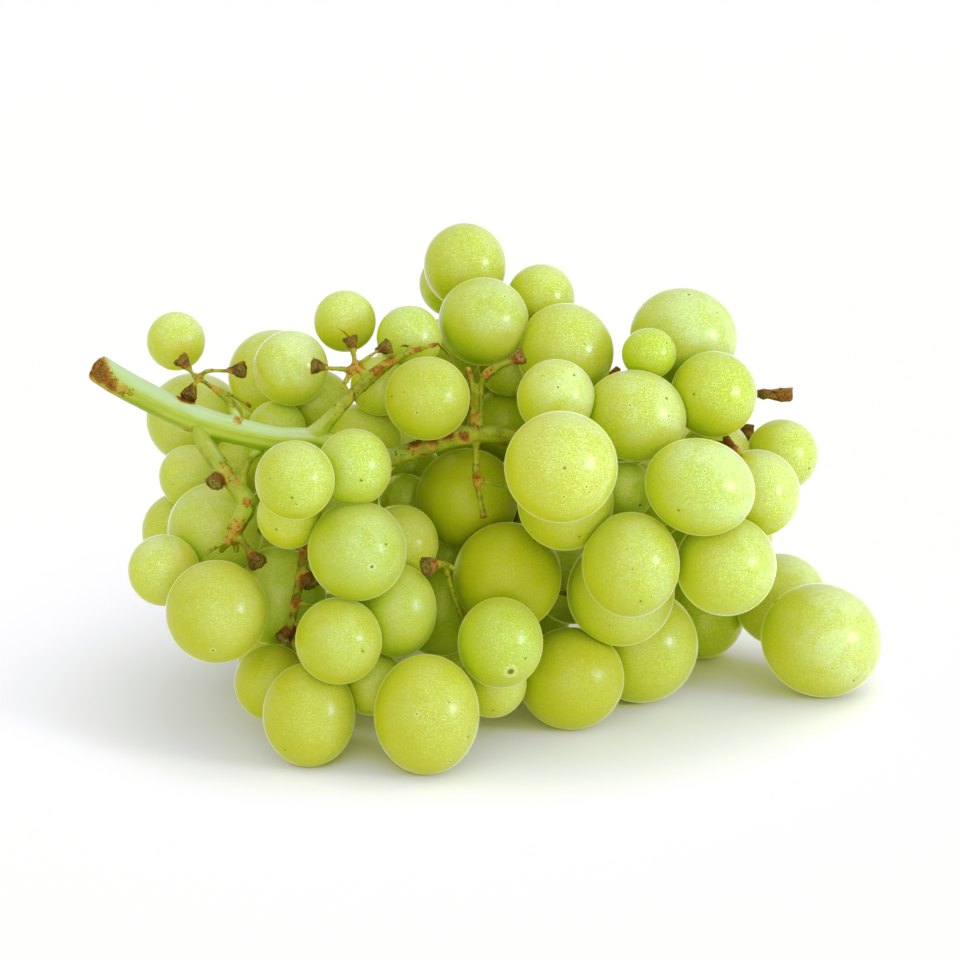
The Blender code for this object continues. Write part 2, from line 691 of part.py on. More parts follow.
def surface(name, colour, roughness):
    """A plain material."""
    material = bpy.data.materials.new(name)
    material.use_nodes = True
    shader = material.node_tree.nodes["Principled BSDF"]
    shader.inputs["Base Color"].default_value = colour
    shader.inputs["Roughness"].default_value = roughness
    shader.inputs["Metallic"].default_value = 0.0
    return material


def berry_mesh(centre, half, axes, number):
    """A berry: the hull of evenly spread points on its oval, flat where it rests."""
    first_turn, second_turn = BERRY_TURNS
    turn = Matrix.Rotation(number * first_turn, 3, "Z") @ Matrix.Rotation(number * second_turn, 3, "X")
    directions = golden_directions(BERRY_POINTS) @ np.array(turn).T
    points = centre + (directions * half) @ axes
    down = np.linalg.norm(axes[:, 2] * half)
    if centre[2] < down:
        flat_radius = np.mean(half) * math.sqrt(1.0 - (centre[2] / down) ** 2)
        turns = np.arange(REST_RING_POINTS) * 2.0 * math.pi / REST_RING_POINTS
        ring = np.column_stack((np.cos(turns), np.sin(turns), np.zeros(REST_RING_POINTS)))
        ring = ring * max(flat_radius, REST_FLAT_LEAST) + (centre[0], centre[1], 0.0)
        points = np.concatenate((points[points[:, 2] > REST_FLAT_DEPTH], ring))
    shape = bmesh.new()
    for point in points:
        shape.verts.new(point * MM)
    bmesh.ops.convex_hull(shape, input=shape.verts)
    bmesh.ops.recalc_face_normals(shape, faces=shape.faces)
    mesh = bpy.data.meshes.new("berry")
    shape.to_mesh(mesh)
    shape.free()
    return mesh


def tube_mesh(points, radii, sides):
    """A closed tube along a run, its rings turned square to the run."""
    along = np.gradient(points, axis=0)
    along /= np.linalg.norm(along, axis=1)[:, None]
    side = np.cross(along[0], SEAM_HINT)
    shape = bmesh.new()
    rings = []
    for point, direction, radius in zip(points, along, radii):
        side = side - direction * np.dot(side, direction)
        side /= np.linalg.norm(side)
        other = np.cross(direction, side)
        turns = np.arange(sides) * 2.0 * math.pi / sides
        spots = [point + radius * (math.cos(t) * side + math.sin(t) * other) for t in turns]
        rings.append([shape.verts.new(spot * MM) for spot in spots])
    for lower, upper in zip(rings[:-1], rings[1:]):
        for k in range(sides):
            shape.faces.new((lower[k], lower[(k + 1) % sides], upper[(k + 1) % sides], upper[k]))
    shape.faces.new(rings[0][::-1])
    shape.faces.new(rings[-1])
    bmesh.ops.recalc_face_normals(shape, faces=shape.faces)
    mesh = bpy.data.meshes.new("run")
    shape.to_mesh(mesh)
    shape.free()
    return mesh


def fused(name, meshes, material):
    """One body made of all the meshes, joined by one Boolean union."""
    thing = new_object(name, meshes[0], material)
    if len(meshes) > 1:
        others = bpy.data.collections.new(name + "_others")
        bpy.context.scene.collection.children.link(others)
        for mesh in meshes[1:]:
            others.objects.link(bpy.data.objects.new("other", mesh))
        union = thing.modifiers.new("union", "BOOLEAN")
        union.operation = "UNION"
        union.operand_type = "COLLECTION"
        union.collection = others
        union.solver = "MANIFOLD"
        bpy.context.view_layer.update()
        evaluated = thing.evaluated_get(bpy.context.evaluated_depsgraph_get())
        joined = bpy.data.meshes.new_from_object(evaluated)
        thing.modifiers.clear()
        thing.data = joined
        for other in list(others.objects):
            bpy.data.objects.remove(other)
        bpy.data.collections.remove(others)
    thing.data.name = name
    keep_outer_body(thing.data)
    thing.data.materials.clear()
    thing.data.materials.append(material)
    thing.data.shade_smooth()
    return thing


def keep_outer_body(mesh):
    """Keep only the biggest shell: sealed hollows are filled and loose scraps dropped."""
    shape = bmesh.new()
    shape.from_mesh(mesh)
    bmesh.ops.triangulate(shape, faces=shape.faces)
    waiting = set(shape.faces)
    shells = []
    while waiting:
        shell = []
        edge = [waiting.pop()]
        while edge:
            face = edge.pop()
            shell.append(face)
            for loop in face.loops:
                for neighbour in loop.edge.link_faces:
                    if neighbour in waiting:
                        waiting.remove(neighbour)
                        edge.append(neighbour)
        shells.append(shell)
    shells.sort(key=len)
    dropped = [face for shell in shells[:-1] for face in shell]
    bmesh.ops.delete(shape, geom=dropped, context="FACES")
    shape.to_mesh(mesh)
    shape.free()


def lay_out():
    """Where all the berries, the runs of the stem and the pedicels are."""
    runs = stem_runs()
    pieces = stem_pieces(runs)
    berries = seen_berries()
    settle(berries, pieces)
    add_back_berries(berries, pieces)
    return berries, runs, pedicel_runs(berries, runs)


def build():
    """Build the stem and the groups of berries, each as one body."""
    for thing in list(bpy.data.objects):
        bpy.data.objects.remove(thing)
    berries, runs, pedicels = lay_out()
    tubes = []
    for number, (points, radii) in enumerate(runs):
        sides = STALK_SIDES if number == 0 else TWIG_SIDES
        tubes.append(tube_mesh(points, radii, sides))
    for points, radii in pedicels:
        tubes.append(tube_mesh(points, radii, PEDICEL_SIDES))
    fused("stem", tubes, surface("stem", STEM_COLOUR, STEM_ROUGHNESS))
    shapes = list(zip(berries.centre, berries.half, berries.axes))
    for group in dict.fromkeys(berries.group):
        members = [index for index, name in enumerate(berries.group) if name == group]
        meshes = [berry_mesh(*shapes[index], index) for index in members]
        fused(group, meshes, surface(group, BERRY_COLOUR, BERRY_ROUGHNESS))
    move_to_origin()


def move_to_origin():
    """Bring the middle of the bunch's outline to the origin, still resting on z = 0."""
    corners = []
    for thing in bpy.data.objects:
        for vertex in thing.data.vertices:
            corners.append(vertex.co)
    corners = np.array(corners)
    middle = 0.5 * (corners.min(axis=0) + corners.max(axis=0))
    shift = Vector((-middle[0], -middle[1], -corners[:, 2].min()))
    for thing in bpy.data.objects:
        thing.data.transform(Matrix.Translation(shift))


build()
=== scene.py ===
import math

import bmesh
import bpy
import numpy as np
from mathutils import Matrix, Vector
from mathutils import noise
from mathutils.kdtree import KDTree


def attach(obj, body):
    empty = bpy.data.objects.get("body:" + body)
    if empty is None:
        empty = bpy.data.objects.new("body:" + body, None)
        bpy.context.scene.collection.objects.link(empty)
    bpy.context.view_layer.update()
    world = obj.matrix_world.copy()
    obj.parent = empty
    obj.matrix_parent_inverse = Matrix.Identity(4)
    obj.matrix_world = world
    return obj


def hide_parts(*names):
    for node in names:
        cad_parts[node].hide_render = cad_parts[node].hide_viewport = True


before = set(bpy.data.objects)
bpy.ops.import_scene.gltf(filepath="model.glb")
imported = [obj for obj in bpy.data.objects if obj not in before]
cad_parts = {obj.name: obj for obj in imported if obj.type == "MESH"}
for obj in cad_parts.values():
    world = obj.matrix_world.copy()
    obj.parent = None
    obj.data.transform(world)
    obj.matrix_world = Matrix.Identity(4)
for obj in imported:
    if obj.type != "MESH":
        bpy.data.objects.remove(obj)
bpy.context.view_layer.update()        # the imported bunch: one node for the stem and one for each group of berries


# Camera. It looks down 17 degrees at the middle of the bunch from 75 cm. At that distance one
# millimetre of the bunch is five of the picture's 960 pixels. Across is to the right, up is square
# to the line of sight, and back is away from the camera, all in millimetres from that middle.
MM = 0.001
LOOKS_DOWN = math.radians(17.0)
CAMERA_DISTANCE = 750.0
PICTURE_WIDTH = 192.0
SENSOR_WIDTH = 36.0
VIEW_MIDDLE = np.array((-2.082, 8.229, 41.7))
RIGHT = np.array((1.0, 0.0, 0.0))
UPWARD = np.array((0.0, math.sin(LOOKS_DOWN), math.cos(LOOKS_DOWN)))
AHEAD = np.array((0.0, math.cos(LOOKS_DOWN), -math.sin(LOOKS_DOWN)))
EYE = VIEW_MIDDLE - CAMERA_DISTANCE * AHEAD


def seen_at(across, up, back):
    """The point that the camera sees at this place."""
    spread = 1.0 + back / CAMERA_DISTANCE
    return VIEW_MIDDLE + back * AHEAD + spread * (across * RIGHT + up * UPWARD)


lens = bpy.data.cameras.new("lens")
lens.sensor_width = SENSOR_WIDTH
lens.lens = CAMERA_DISTANCE * SENSOR_WIDTH / PICTURE_WIDTH
lens.clip_end = 20.0
camera = bpy.data.objects.new("camera", lens)
camera.location = Vector(EYE * MM)
camera.rotation_euler = (math.pi / 2.0 - LOOKS_DOWN, 0.0, 0.0)
bpy.context.collection.objects.link(camera)
bpy.context.scene.camera = camera


# The green stem: the cut stalk, its laterals and every pedicel, one woody shoot grown in one piece.
# It is ribbed lengthwise, warty on the thin twigs, scabbed brown at the cut and at old wounds.
CREASE = math.radians(-6.0)
FEWEST_PATCH_POINTS = 10
STEM_GRID = 0.27
IRONING_ROUNDS = 7
STEM_SWELL = 0.14
TWIG_SHRINK = 0.28
RUN_SHRINKS_MORE = 0.6
TWIG_RADII = (1.3, 2.5)
FREE_TWIG_RADIUS = 0.8
RUN_REACH = (1.9, 1.3)
# The laterals and the rachis as runs of places and radii, each by across, up, back and radius.
MAIN_RUNS = (
    ((-76.6, 22.4, -24.0, 2.7), (-70.0, 18.4, -26.0, 2.7), (-62.0, 14.4, -28.5, 2.7),
     (-56.0, 11.8, -31.0, 2.7), (-48.0, 9.6, -33.5, 2.5), (-40.0, 8.0, -35.5, 2.4),
     (-33.6, 7.8, -36.0, 2.4), (-26.0, 5.6, -33.5, 2.0), (-18.0, 4.4, -31.0, 2.0),
     (-8.0, 7.6, -30.0, 1.9), (-1.0, 9.2, -29.0, 2.0), (5.6, 8.8, -26.5, 1.6),
     (12.0, 7.8, -23.0, 1.6), (20.0, 5.6, -17.0, 1.6), (28.0, 2.4, -10.0, 1.5)),
    ((-56.0, 11.2, -31.5, 2.0), (-54.8, 7.0, -32.5, 2.0), (-52.4, 3.4, -33.5, 1.9),
     (-49.8, -0.4, -34.0, 1.8), (-46.6, -4.6, -34.0, 2.1), (-48.0, -8.0, -34.0, 1.9),
     (-49.4, -10.6, -34.0, 1.8)),
    ((-33.6, 8.4, -36.0, 2.2), (-30.4, 11.8, -36.0, 1.8), (-26.0, 16.6, -35.5, 1.6),
     (-22.4, 20.0, -35.0, 1.6), (-19.0, 22.8, -34.5, 1.5), (-16.0, 24.6, -33.5, 1.2),
     (-12.0, 26.2, -32.0, 0.9), (-8.4, 27.2, -31.0, 0.8)),
    ((-1.6, 9.2, -29.0, 1.0), (-1.6, 15.2, -30.0, 0.9), (-1.6, 19.0, -30.0, 0.9), (-2.6, 22.8, -30.0, 1.0)),
    ((-0.8, 8.8, -29.0, 1.2), (-0.8, 4.0, -30.0, 1.0), (-0.6, 0.4, -30.5, 1.3), (-0.2, -2.8, -30.5, 0.9),
     (0.8, -7.8, -30.0, 1.1)),
)
# Brown scabs and corky patches, by across, up, reach and how dark they are.
SCABS = (
    (-76.8, 22.6, 2.6, 1.0), (-75.6, 21.0, 2.2, 0.9), (-73.6, 19.0, 1.7, 0.8), (-71.6, 18.0, 1.3, 0.6),
    (-70.0, 17.6, 0.9, 0.5), (-58.8, 9.5, 0.8, 0.9), (-51.4, 3.0, 0.9, 0.5), (-50.2, 1.4, 1.0, 0.6),
    (-48.8, -0.4, 1.1, 0.6), (-46.6, -4.4, 1.2, 0.7), (-48.6, -9.4, 2.2, 0.6), (-50.0, -11.6, 1.6, 0.6),
    (-33.4, 12.4, 1.1, 0.5), (-20.6, 22.0, 1.6, 0.7), (-18.4, 24.2, 1.7, 0.8), (-12.6, 25.8, 1.2, 0.7),
    (-9.0, 27.0, 1.4, 0.8), (-24.8, 22.2, 1.8, 0.7), (-2.0, 15.4, 0.9, 0.5), (-1.4, 21.6, 1.4, 0.7),
    (1.4, 21.6, 1.4, 0.7), (-1.0, 10.8, 1.2, 0.5), (-0.8, 0.2, 1.5, 0.7), (0.8, -8.2, 1.2, 0.9),
    (-35.2, -14.2, 1.6, 0.7), (-36.0, -19.4, 1.2, 0.5), (-37.0, -24.4, 1.5, 0.8), (-36.8, -30.0, 1.3, 0.9),
    (-53.0, 18.4, 1.5, 0.6), (-56.2, 20.4, 1.0, 0.5), (-48.4, 12.0, 1.0, 0.7), (53.2, 10.0, 2.6, 1.0),
    (49.6, 6.6, 2.4, 1.0), (27.4, 22.2, 2.2, 1.0), (-45.6, 14.8, 1.6, 1.0), (-13.0, 7.4, 1.5, 0.9),
    (-9.6, 7.6, 1.3, 0.8), (-6.4, 9.2, 1.5, 1.0), (-3.2, 8.6, 1.3, 0.9), (-1.0, 12.8, 1.0, 0.7),
)
# Pedicels that flare right up to their berry, by across and up.
FLARES = ((53.6, 9.8), (51.2, 6.0))
FLARE_REACH = (3.2, 2.2)
# Where bare pedicels end in a dried knob or bud, which starts to brown the stem.
KNOB_ENDS = ((-59.9, 24.2, -29.0), (-47.5, 22.0, -29.5), (-58.3, 16.8, -29.5), (-33.2, 22.8, -35.5),
             (-26.0, 28.3, -34.5), (-18.4, 26.7, -35.5), (-53.1, -0.6, -36.0), (-44.5, -16.6, -36.0),
             (-33.8, -20.6, -31.0), (-39.3, -31.6, -31.0), (-10.6, -17.3, -36.5), (8.4, 24.7, -30.0),
             (58.4, 17.0, -13.5), (61.6, 17.0, -14.0))
KNOB_BROWNING = (3.0, 1.8)
# Inside the bunch, right of here, the main stem is as dark and warty as its twigs.
INSIDE = (-21.0, -14.0)
INSIDE_TWIGGY = 0.75
WART_COUNT = 1300
WART_REACH = (0.22, 0.42)
# How high the parts of the relief stand.
RIB_HEIGHT = 0.018
LUMP_HEIGHT = 0.05
ROUGH_HEIGHT = 0.025
SCAB_HEIGHT = 0.08
WART_HEIGHT = 0.11
# A pedicel's end: how near a berry it is drawn in, by how much more where it flares, how far it goes
# under the skin, which points count as its end, and how far round it the collar is brown.
DRAWN_IN = 0.75
FLARED_MORE = 1.6
UNDER_SKIN = 0.12
END_HEIGHTS = (0.55, 0.6)
END_WIDTH = 1.3
FEWEST_END_POINTS = 30
COLLAR_REACH = (3.2, 1.2)
# Colours: the stalk's fibres, painted shade below and painted light on top, twigs, cork, scabs, collars and warts.
FIBRE_DARK, FIBRE_LIGHT = (0.31, 0.47, 0.07), (0.36, 0.53, 0.11)
PAINTED_SHADE_UNDERSIDE, PAINTED_LIGHT_TOPSIDE = (0.16, 0.25, 0.005), (0.53, 0.71, 0.40)
TWIG_DARK, TWIG_LIGHT = (0.12, 0.135, 0.006), (0.24, 0.22, 0.025)
CORK = (0.13, 0.06, 0.014)
PEACH_DARK, PEACH_LIGHT = (0.19, 0.065, 0.012), (0.42, 0.21, 0.065)
CRUST_DARK, CRUST_LIGHT = (0.06, 0.020, 0.012), (0.20, 0.075, 0.035)
COLLAR_BROWN = (0.22, 0.14, 0.04)
WART_BROWN = (0.045, 0.024, 0.012)


def smooth_step(values, start, end):
    """0 at start, 1 at end, and an even swell between."""
    share = np.clip((values - start) / (end - start), 0.0, 1.0)
    return share * share * (3.0 - 2.0 * share)


def berry_patches(mesh):
    """The points of each berry in a fused group, parted where two berries meet in a crease."""
    shape = bmesh.new()
    shape.from_mesh(mesh)
    bmesh.ops.remove_doubles(shape, verts=shape.verts, dist=1e-6)
    shape.faces.ensure_lookup_table()
    shape.faces.index_update()
    creased = {edge for edge in shape.edges if edge.calc_face_angle_signed(0.0) < CREASE}
    on_crease = {point for edge in creased for point in edge.verts}
    reached = [False] * len(shape.faces)
    patches = []
    for first in shape.faces:
        if reached[first.index]:
            continue
        reached[first.index] = True
        patch = [first]
        for face in patch:
            for edge in face.edges:
                if edge in creased:
                    continue
                for other in edge.link_faces:
                    if not reached[other.index]:
                        reached[other.index] = True
                        patch.append(other)
        spots = {point.index: point.co[:] for face in patch for point in face.verts
                 if point not in on_crease and point.co.z > 1e-4}
        patches.append(np.array([spots[index] for index in sorted(spots)]).reshape(-1, 3) / MM)
    shape.free()
    return patches


def oval_through(points):
    """Centre, half sizes and axes of the oval whose skin passes through the points."""
    middle = points.mean(axis=0)
    x, y, z = ((points - middle) / 10.0).T
    rows = np.column_stack((x * x, y * y, z * z, 2 * x * y, 2 * x * z, 2 * y * z, 2 * x, 2 * y, 2 * z))
    a, b, c, d, e, f, g, h, i = np.linalg.lstsq(rows, np.ones(len(x)), rcond=None)[0]
    form = np.array(((a, d, e), (d, b, f), (e, f, c)))
    centre = -np.linalg.solve(form, np.array((g, h, i)))
    values, axes = np.linalg.eigh(form / (1.0 + centre @ form @ centre))
    return middle + 10.0 * centre, 10.0 / np.sqrt(values), axes.T


berries = []
for group, node in sorted(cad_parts.items()):
    if group != "stem":
        for points in berry_patches(node.data):
            if len(points) >= FEWEST_PATCH_POINTS:
                centre, half, axes = oval_through(points)
                berries.append({"group": group, "centre": centre, "half": half, "axes": axes})
berries.sort(key=lambda berry: (berry["group"], *np.round(berry["centre"][[0, 2]], 2)))


def height_over(berry, points):
    """How far the points stand over a berry's skin, in millimetres, and the way out there."""
    local = ((points - berry["centre"]) @ berry["axes"].T) / berry["half"]
    size = np.linalg.norm(local, axis=1)
    slope = (local / berry["half"]) @ berry["axes"]
    steepness = np.linalg.norm(slope, axis=1)
    return (size - 1.0) * size / steepness, slope / steepness[:, None]


def mesh_points(mesh, field="co"):
    """Places or normals of a mesh's points as rows."""
    values = np.zeros(3 * len(mesh.vertices))
    mesh.vertices.foreach_get(field, values)
    return values.reshape(-1, 3)


def set_points(mesh, points):
    """Moves a mesh's points, given in millimetres."""
    mesh.vertices.foreach_set("co", (points * MM).ravel())
    mesh.update()


def keep_value(mesh, name, values):
    """Stores a number or a row of three for each point, for the material to read."""
    values = np.asarray(values, dtype=float)
    if values.ndim == 1:
        mesh.attributes.new(name, "FLOAT", "POINT").data.foreach_set("value", values)
    else:
        mesh.attributes.new(name, "FLOAT_VECTOR", "POINT").data.foreach_set("vector", values.ravel())


def ironed(points, edges, rounds):
    """Each point moved halfway to the middle of its neighbours, a few times over."""
    ends = np.concatenate((edges, edges[:, ::-1]))
    count = np.bincount(ends[:, 0], minlength=len(points))[:, None]
    for _ in range(rounds):
        columns = points[ends[:, 1]].T
        total = np.column_stack([np.bincount(ends[:, 0], column, len(points)) for column in columns])
        points = 0.5 * points + 0.5 * total / count
    return points


def bumps(points, size, offset=0.0):
    """Soft random swelling from -1 to 1 with lumps of about this size."""
    shift = Vector((offset, 0.7 * offset, 1.3 * offset))
    return np.array([noise.noise(Vector(spot) + shift) for spot in points / size])


def along_runs(points):
    """How far along the nearest main run each point is, its turn round it, and that run's radius there."""
    nearest = np.full(len(points), 1e9)
    along = np.zeros(len(points))
    turn = np.zeros(len(points))
    thickness = np.full(len(points), FREE_TWIG_RADIUS)
    passed = 0.0
    for run in MAIN_RUNS:
        steps = np.array([(*seen_at(*step[:3]), step[3]) for step in run])
        for start, end in zip(steps[:-1], steps[1:]):
            way = end[:3] - start[:3]
            length = np.linalg.norm(way)
            way /= length
            side = np.cross(way, AHEAD)
            side /= np.linalg.norm(side)
            other = np.cross(way, side)
            share = np.clip((points - start[:3]) @ way / length, 0.0, 1.0)
            offset = points - start[:3] - share[:, None] * length * way
            radius = start[3] + share * (end[3] - start[3])
            gap = np.linalg.norm(offset, axis=1) / radius
            closer = gap < nearest
            nearest[closer] = gap[closer]
            along[closer] = (passed + share * length)[closer]
            turn[closer] = np.arctan2(offset @ other, offset @ side)[closer]
            thickness[closer] = radius[closer]
            passed += length
    return along, turn, thickness, smooth_step(nearest, *RUN_REACH)


stem = bpy.data.objects.new("green_stem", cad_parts["stem"].data.copy())
bpy.context.collection.objects.link(stem)
even_grid = stem.modifiers.new("even grid", "REMESH")
even_grid.mode = "VOXEL"
even_grid.voxel_size = STEM_GRID * MM
grown = bpy.data.meshes.new_from_object(stem.evaluated_get(bpy.context.evaluated_depsgraph_get()))
stem.modifiers.clear()
stem.data = grown

stem_edges = np.zeros(2 * len(grown.edges), dtype=np.int32)
grown.edges.foreach_get("vertices", stem_edges)
stem_edges = stem_edges.reshape(-1, 2)
spots = ironed(mesh_points(grown) / MM, stem_edges, IRONING_ROUNDS)
set_points(grown, spots)
along, turn, thickness, on_run = along_runs(spots)
twiggy = 1.0 - smooth_step(thickness, *TWIG_RADII) * on_run
growth = STEM_SWELL - TWIG_SHRINK * twiggy * (1.0 + RUN_SHRINKS_MORE * on_run)
spots = spots + growth[:, None] * mesh_points(grown, "normal")
set_points(grown, spots)

# Five broad ribs and eight narrow ones that wander along the stem, and lumps of two sizes.
wander = bumps(np.column_stack((along, 0.0 * along, 0.0 * along)), 9.0)
ribs = np.cos(5.0 * turn + 2.0 * wander) + 0.7 * np.cos(8.0 * turn - 1.5 * wander + 1.0)
coarse = bumps(spots, 1.6)
fine = bumps(spots, 0.6, 5.0)

view_axes = np.column_stack((RIGHT, UPWARD, AHEAD))
flat = spots @ view_axes - VIEW_MIDDLE @ view_axes
flat = flat[:, :2] / (1.0 + flat[:, 2:] / CAMERA_DISTANCE)
scab = np.zeros(len(spots))
for across, up, reach, darkness in SCABS:
    distance = np.hypot(flat[:, 0] - across, flat[:, 1] - up)
    scab = np.maximum(scab, darkness * smooth_step(distance, 1.5 * reach, 0.4 * reach))
for end in KNOB_ENDS:
    scab = np.maximum(scab, smooth_step(np.linalg.norm(spots - seen_at(*end), axis=1), *KNOB_BROWNING))
inside = smooth_step((spots - VIEW_MIDDLE) @ RIGHT, *INSIDE)
twiggy = np.maximum(twiggy, INSIDE_TWIGGY * inside)

stem_tree = KDTree(len(spots))
for index, spot in enumerate(spots):
    stem_tree.insert(spot, index)
stem_tree.balance()
warts = np.zeros(len(spots))
chance = np.random.default_rng(8)
for index in chance.choice(np.nonzero(twiggy + scab > 0.5)[0], WART_COUNT):
    reach = chance.uniform(*WART_REACH)
    for _, other, distance in stem_tree.find_range(spots[index], reach):
        warts[other] = max(warts[other], 1.0 - (distance / reach) ** 2)
lift = (RIB_HEIGHT * thickness * ribs * on_run + LUMP_HEIGHT * coarse * (0.4 + twiggy)
        + ROUGH_HEIGHT * fine * (0.4 + 2.0 * scab) + SCAB_HEIGHT * scab + WART_HEIGHT * warts)
spots = spots + lift[:, None] * mesh_points(grown, "normal")

# A pedicel widens into its berry and is closed on it, a little under the skin.
flaring = np.zeros(len(spots))
for across, up in FLARES:
    distance = np.hypot(flat[:, 0] - across, flat[:, 1] - up)
    flaring = np.maximum(flaring, smooth_step(distance, *FLARE_REACH))
drawn_in = DRAWN_IN + FLARED_MORE * flaring
collar = np.zeros(len(spots))
for berry in berries:
    height, way_out = height_over(berry, spots)
    close = np.nonzero(height < drawn_in)[0]
    best = []
    for index in close[height[close] < END_HEIGHTS[0]][::4]:
        around = [other for _, other, _ in stem_tree.find_range(spots[index], END_WIDTH)
                  if height[other] < END_HEIGHTS[1]]
        if len(around) > len(best):
            best = around
    berry["stem_end"] = spots[best].mean(axis=0) if len(best) >= FEWEST_END_POINTS else None
    pull = smooth_step(height[close] / drawn_in[close], 1.0, 0.6)
    spots[close] -= (pull * (height[close] + UNDER_SKIN))[:, None] * way_out[close]
    if berry["stem_end"] is not None:
        distance = np.linalg.norm(spots - berry["stem_end"], axis=1)
        collar = np.maximum(collar, smooth_step(distance, *COLLAR_REACH))
set_points(grown, spots)
grown.shade_smooth()
for name, value in (("scab", scab), ("twiggy", twiggy), ("warts", warts), ("collar", collar)):
    keep_value(grown, name, value)
lengthwise = np.column_stack((along / 14.0, np.cos(turn) * thickness, np.sin(turn) * thickness))
keep_value(grown, "lengthwise", lengthwise * on_run[:, None] + 0.25 * spots * (1.0 - on_run[:, None]))


def shade(tree, kind, inputs=(), **settings):
    """Adds a shader node, sets it up, and sets its inputs or joins them to other nodes' outputs."""
    node = tree.nodes.new("ShaderNode" + kind)
    for name, value in settings.items():
        setattr(node, name, value)
    for name, value in dict(inputs).items():
        if isinstance(value, bpy.types.NodeSocket):
            tree.links.new(value, node.inputs[name])
        else:
            node.inputs[name].default_value = value
    return node


def mix_colours(tree, mask, first, second):
    """The first colour where the mask is 0 and the second where it is 1."""
    first, second = ((*colour, 1.0) if isinstance(colour, tuple) else colour for colour in (first, second))
    return shade(tree, "Mix", {0: mask, 6: first, 7: second}, data_type="RGBA").outputs[2]


def calc(tree, operation, first, second=0.0, third=0.0):
    """One sum on one or more values that change over the surface."""
    inputs = {0: first, 1: second}
    if operation == "MULTIPLY_ADD":
        inputs[2] = third
    return shade(tree, "Math", inputs, operation=operation).outputs[0]


def times(tree, first, *others):
    """Values multiplied together."""
    for other in others:
        first = calc(tree, "MULTIPLY", first, other)
    return first


def stretch(tree, value, low, high, new_low=0.0, new_high=1.0):
    """A value's range moved to another, with an even swell."""
    inputs = {"Value": value, "From Min": low, "From Max": high, "To Min": new_low, "To Max": new_high}
    return shade(tree, "MapRange", inputs, interpolation_type="SMOOTHSTEP").outputs[0]


def kept(tree, name):
    """A value that a mesh stores for each point."""
    return shade(tree, "Attribute", attribute_name=name)


def start_group(name, inputs, outputs):
    """An empty shader node group with its named numbers going in and masks coming out."""
    group = bpy.data.node_groups.new(name, "ShaderNodeTree")
    for socket, value in inputs.items():
        entry = group.interface.new_socket(socket, in_out="INPUT", socket_type="NodeSocketFloat")
        entry.default_value = value
    for socket in outputs:
        group.interface.new_socket(socket, in_out="OUTPUT", socket_type="NodeSocketFloat")
    return group, group.nodes.new("NodeGroupInput").outputs, group.nodes.new("NodeGroupOutput").inputs


def set_inputs(node, **values):
    """Sets a node's inputs that are the same all over. Underscores stand for spaces."""
    for name, value in values.items():
        node.inputs[name.replace("_", " ")].default_value = value


def place_group(tree, group, **values):
    """A group set in a material with its own numbers."""
    node = tree.nodes.new("ShaderNodeGroup")
    node.node_tree = group
    set_inputs(node, **values)
    return node.outputs


def scaled_place(tree, factor):
    """The place on the piece, enlarged by the factor."""
    where = shade(tree, "TexCoord").outputs["Object"]
    return shade(tree, "VectorMath", {0: where, 3: factor}, operation="SCALE").outputs[0]


def start_material(name):
    """A new material, its shader nodes and its surface."""
    material = bpy.data.materials.new(name)
    material.use_nodes = True
    return material, material.node_tree, material.node_tree.nodes["Principled BSDF"]


# Mottling: cloudy patches with a finer grain in them, as in bloom, cork and dried skin.
mottling, given, gives = start_group("mottling", {"Patch Size": 3.0, "Grain Size": 0.3, "Cover": 0.5},
                                     ("Patches", "Grain"))
in_patches = scaled_place(mottling, calc(mottling, "DIVIDE", 1000.0, given["Patch Size"]))
in_grain = scaled_place(mottling, calc(mottling, "DIVIDE", 1000.0, given["Grain Size"]))
patchy = shade(mottling, "TexNoise", {"Vector": in_patches, "Scale": 1.0, "Detail": 3.0, "Roughness": 0.6,
                                      "Distortion": 0.4}).outputs[0]
grainy = shade(mottling, "TexNoise", {"Vector": in_grain, "Scale": 1.0, "Detail": 2.0,
                                      "Roughness": 0.6}).outputs[0]
level = calc(mottling, "SUBTRACT", 1.0, given["Cover"])
patch_mask = stretch(mottling, patchy, calc(mottling, "MULTIPLY_ADD", level, 0.5, 0.17),
                     calc(mottling, "MULTIPLY_ADD", level, 0.5, 0.33))
mottling.links.new(patch_mask, gives["Patches"])
mottling.links.new(stretch(mottling, grainy, 0.35, 0.65), gives["Grain"])

# Specks: small round dots, some cells left out, as lenticels, insect marks and warts lie.
specks, given, gives = start_group("specks", {"Spacing": 3.0, "Size": 0.15, "Share": 0.5}, ("Mask",))
spread = scaled_place(specks, calc(specks, "DIVIDE", 1000.0, given["Spacing"]))
cells = shade(specks, "TexVoronoi", {"Vector": spread, "Scale": 1.0})
width = calc(specks, "DIVIDE", given["Size"], given["Spacing"])
dot = stretch(specks, cells.outputs["Distance"], times(specks, width, 1.5), times(specks, width, 0.6))
draw = shade(specks, "SeparateColor", {"Color": cells.outputs["Color"]}).outputs[0]
there = calc(specks, "LESS_THAN", draw, given["Share"])
specks.links.new(times(specks, dot, there), gives["Mask"])

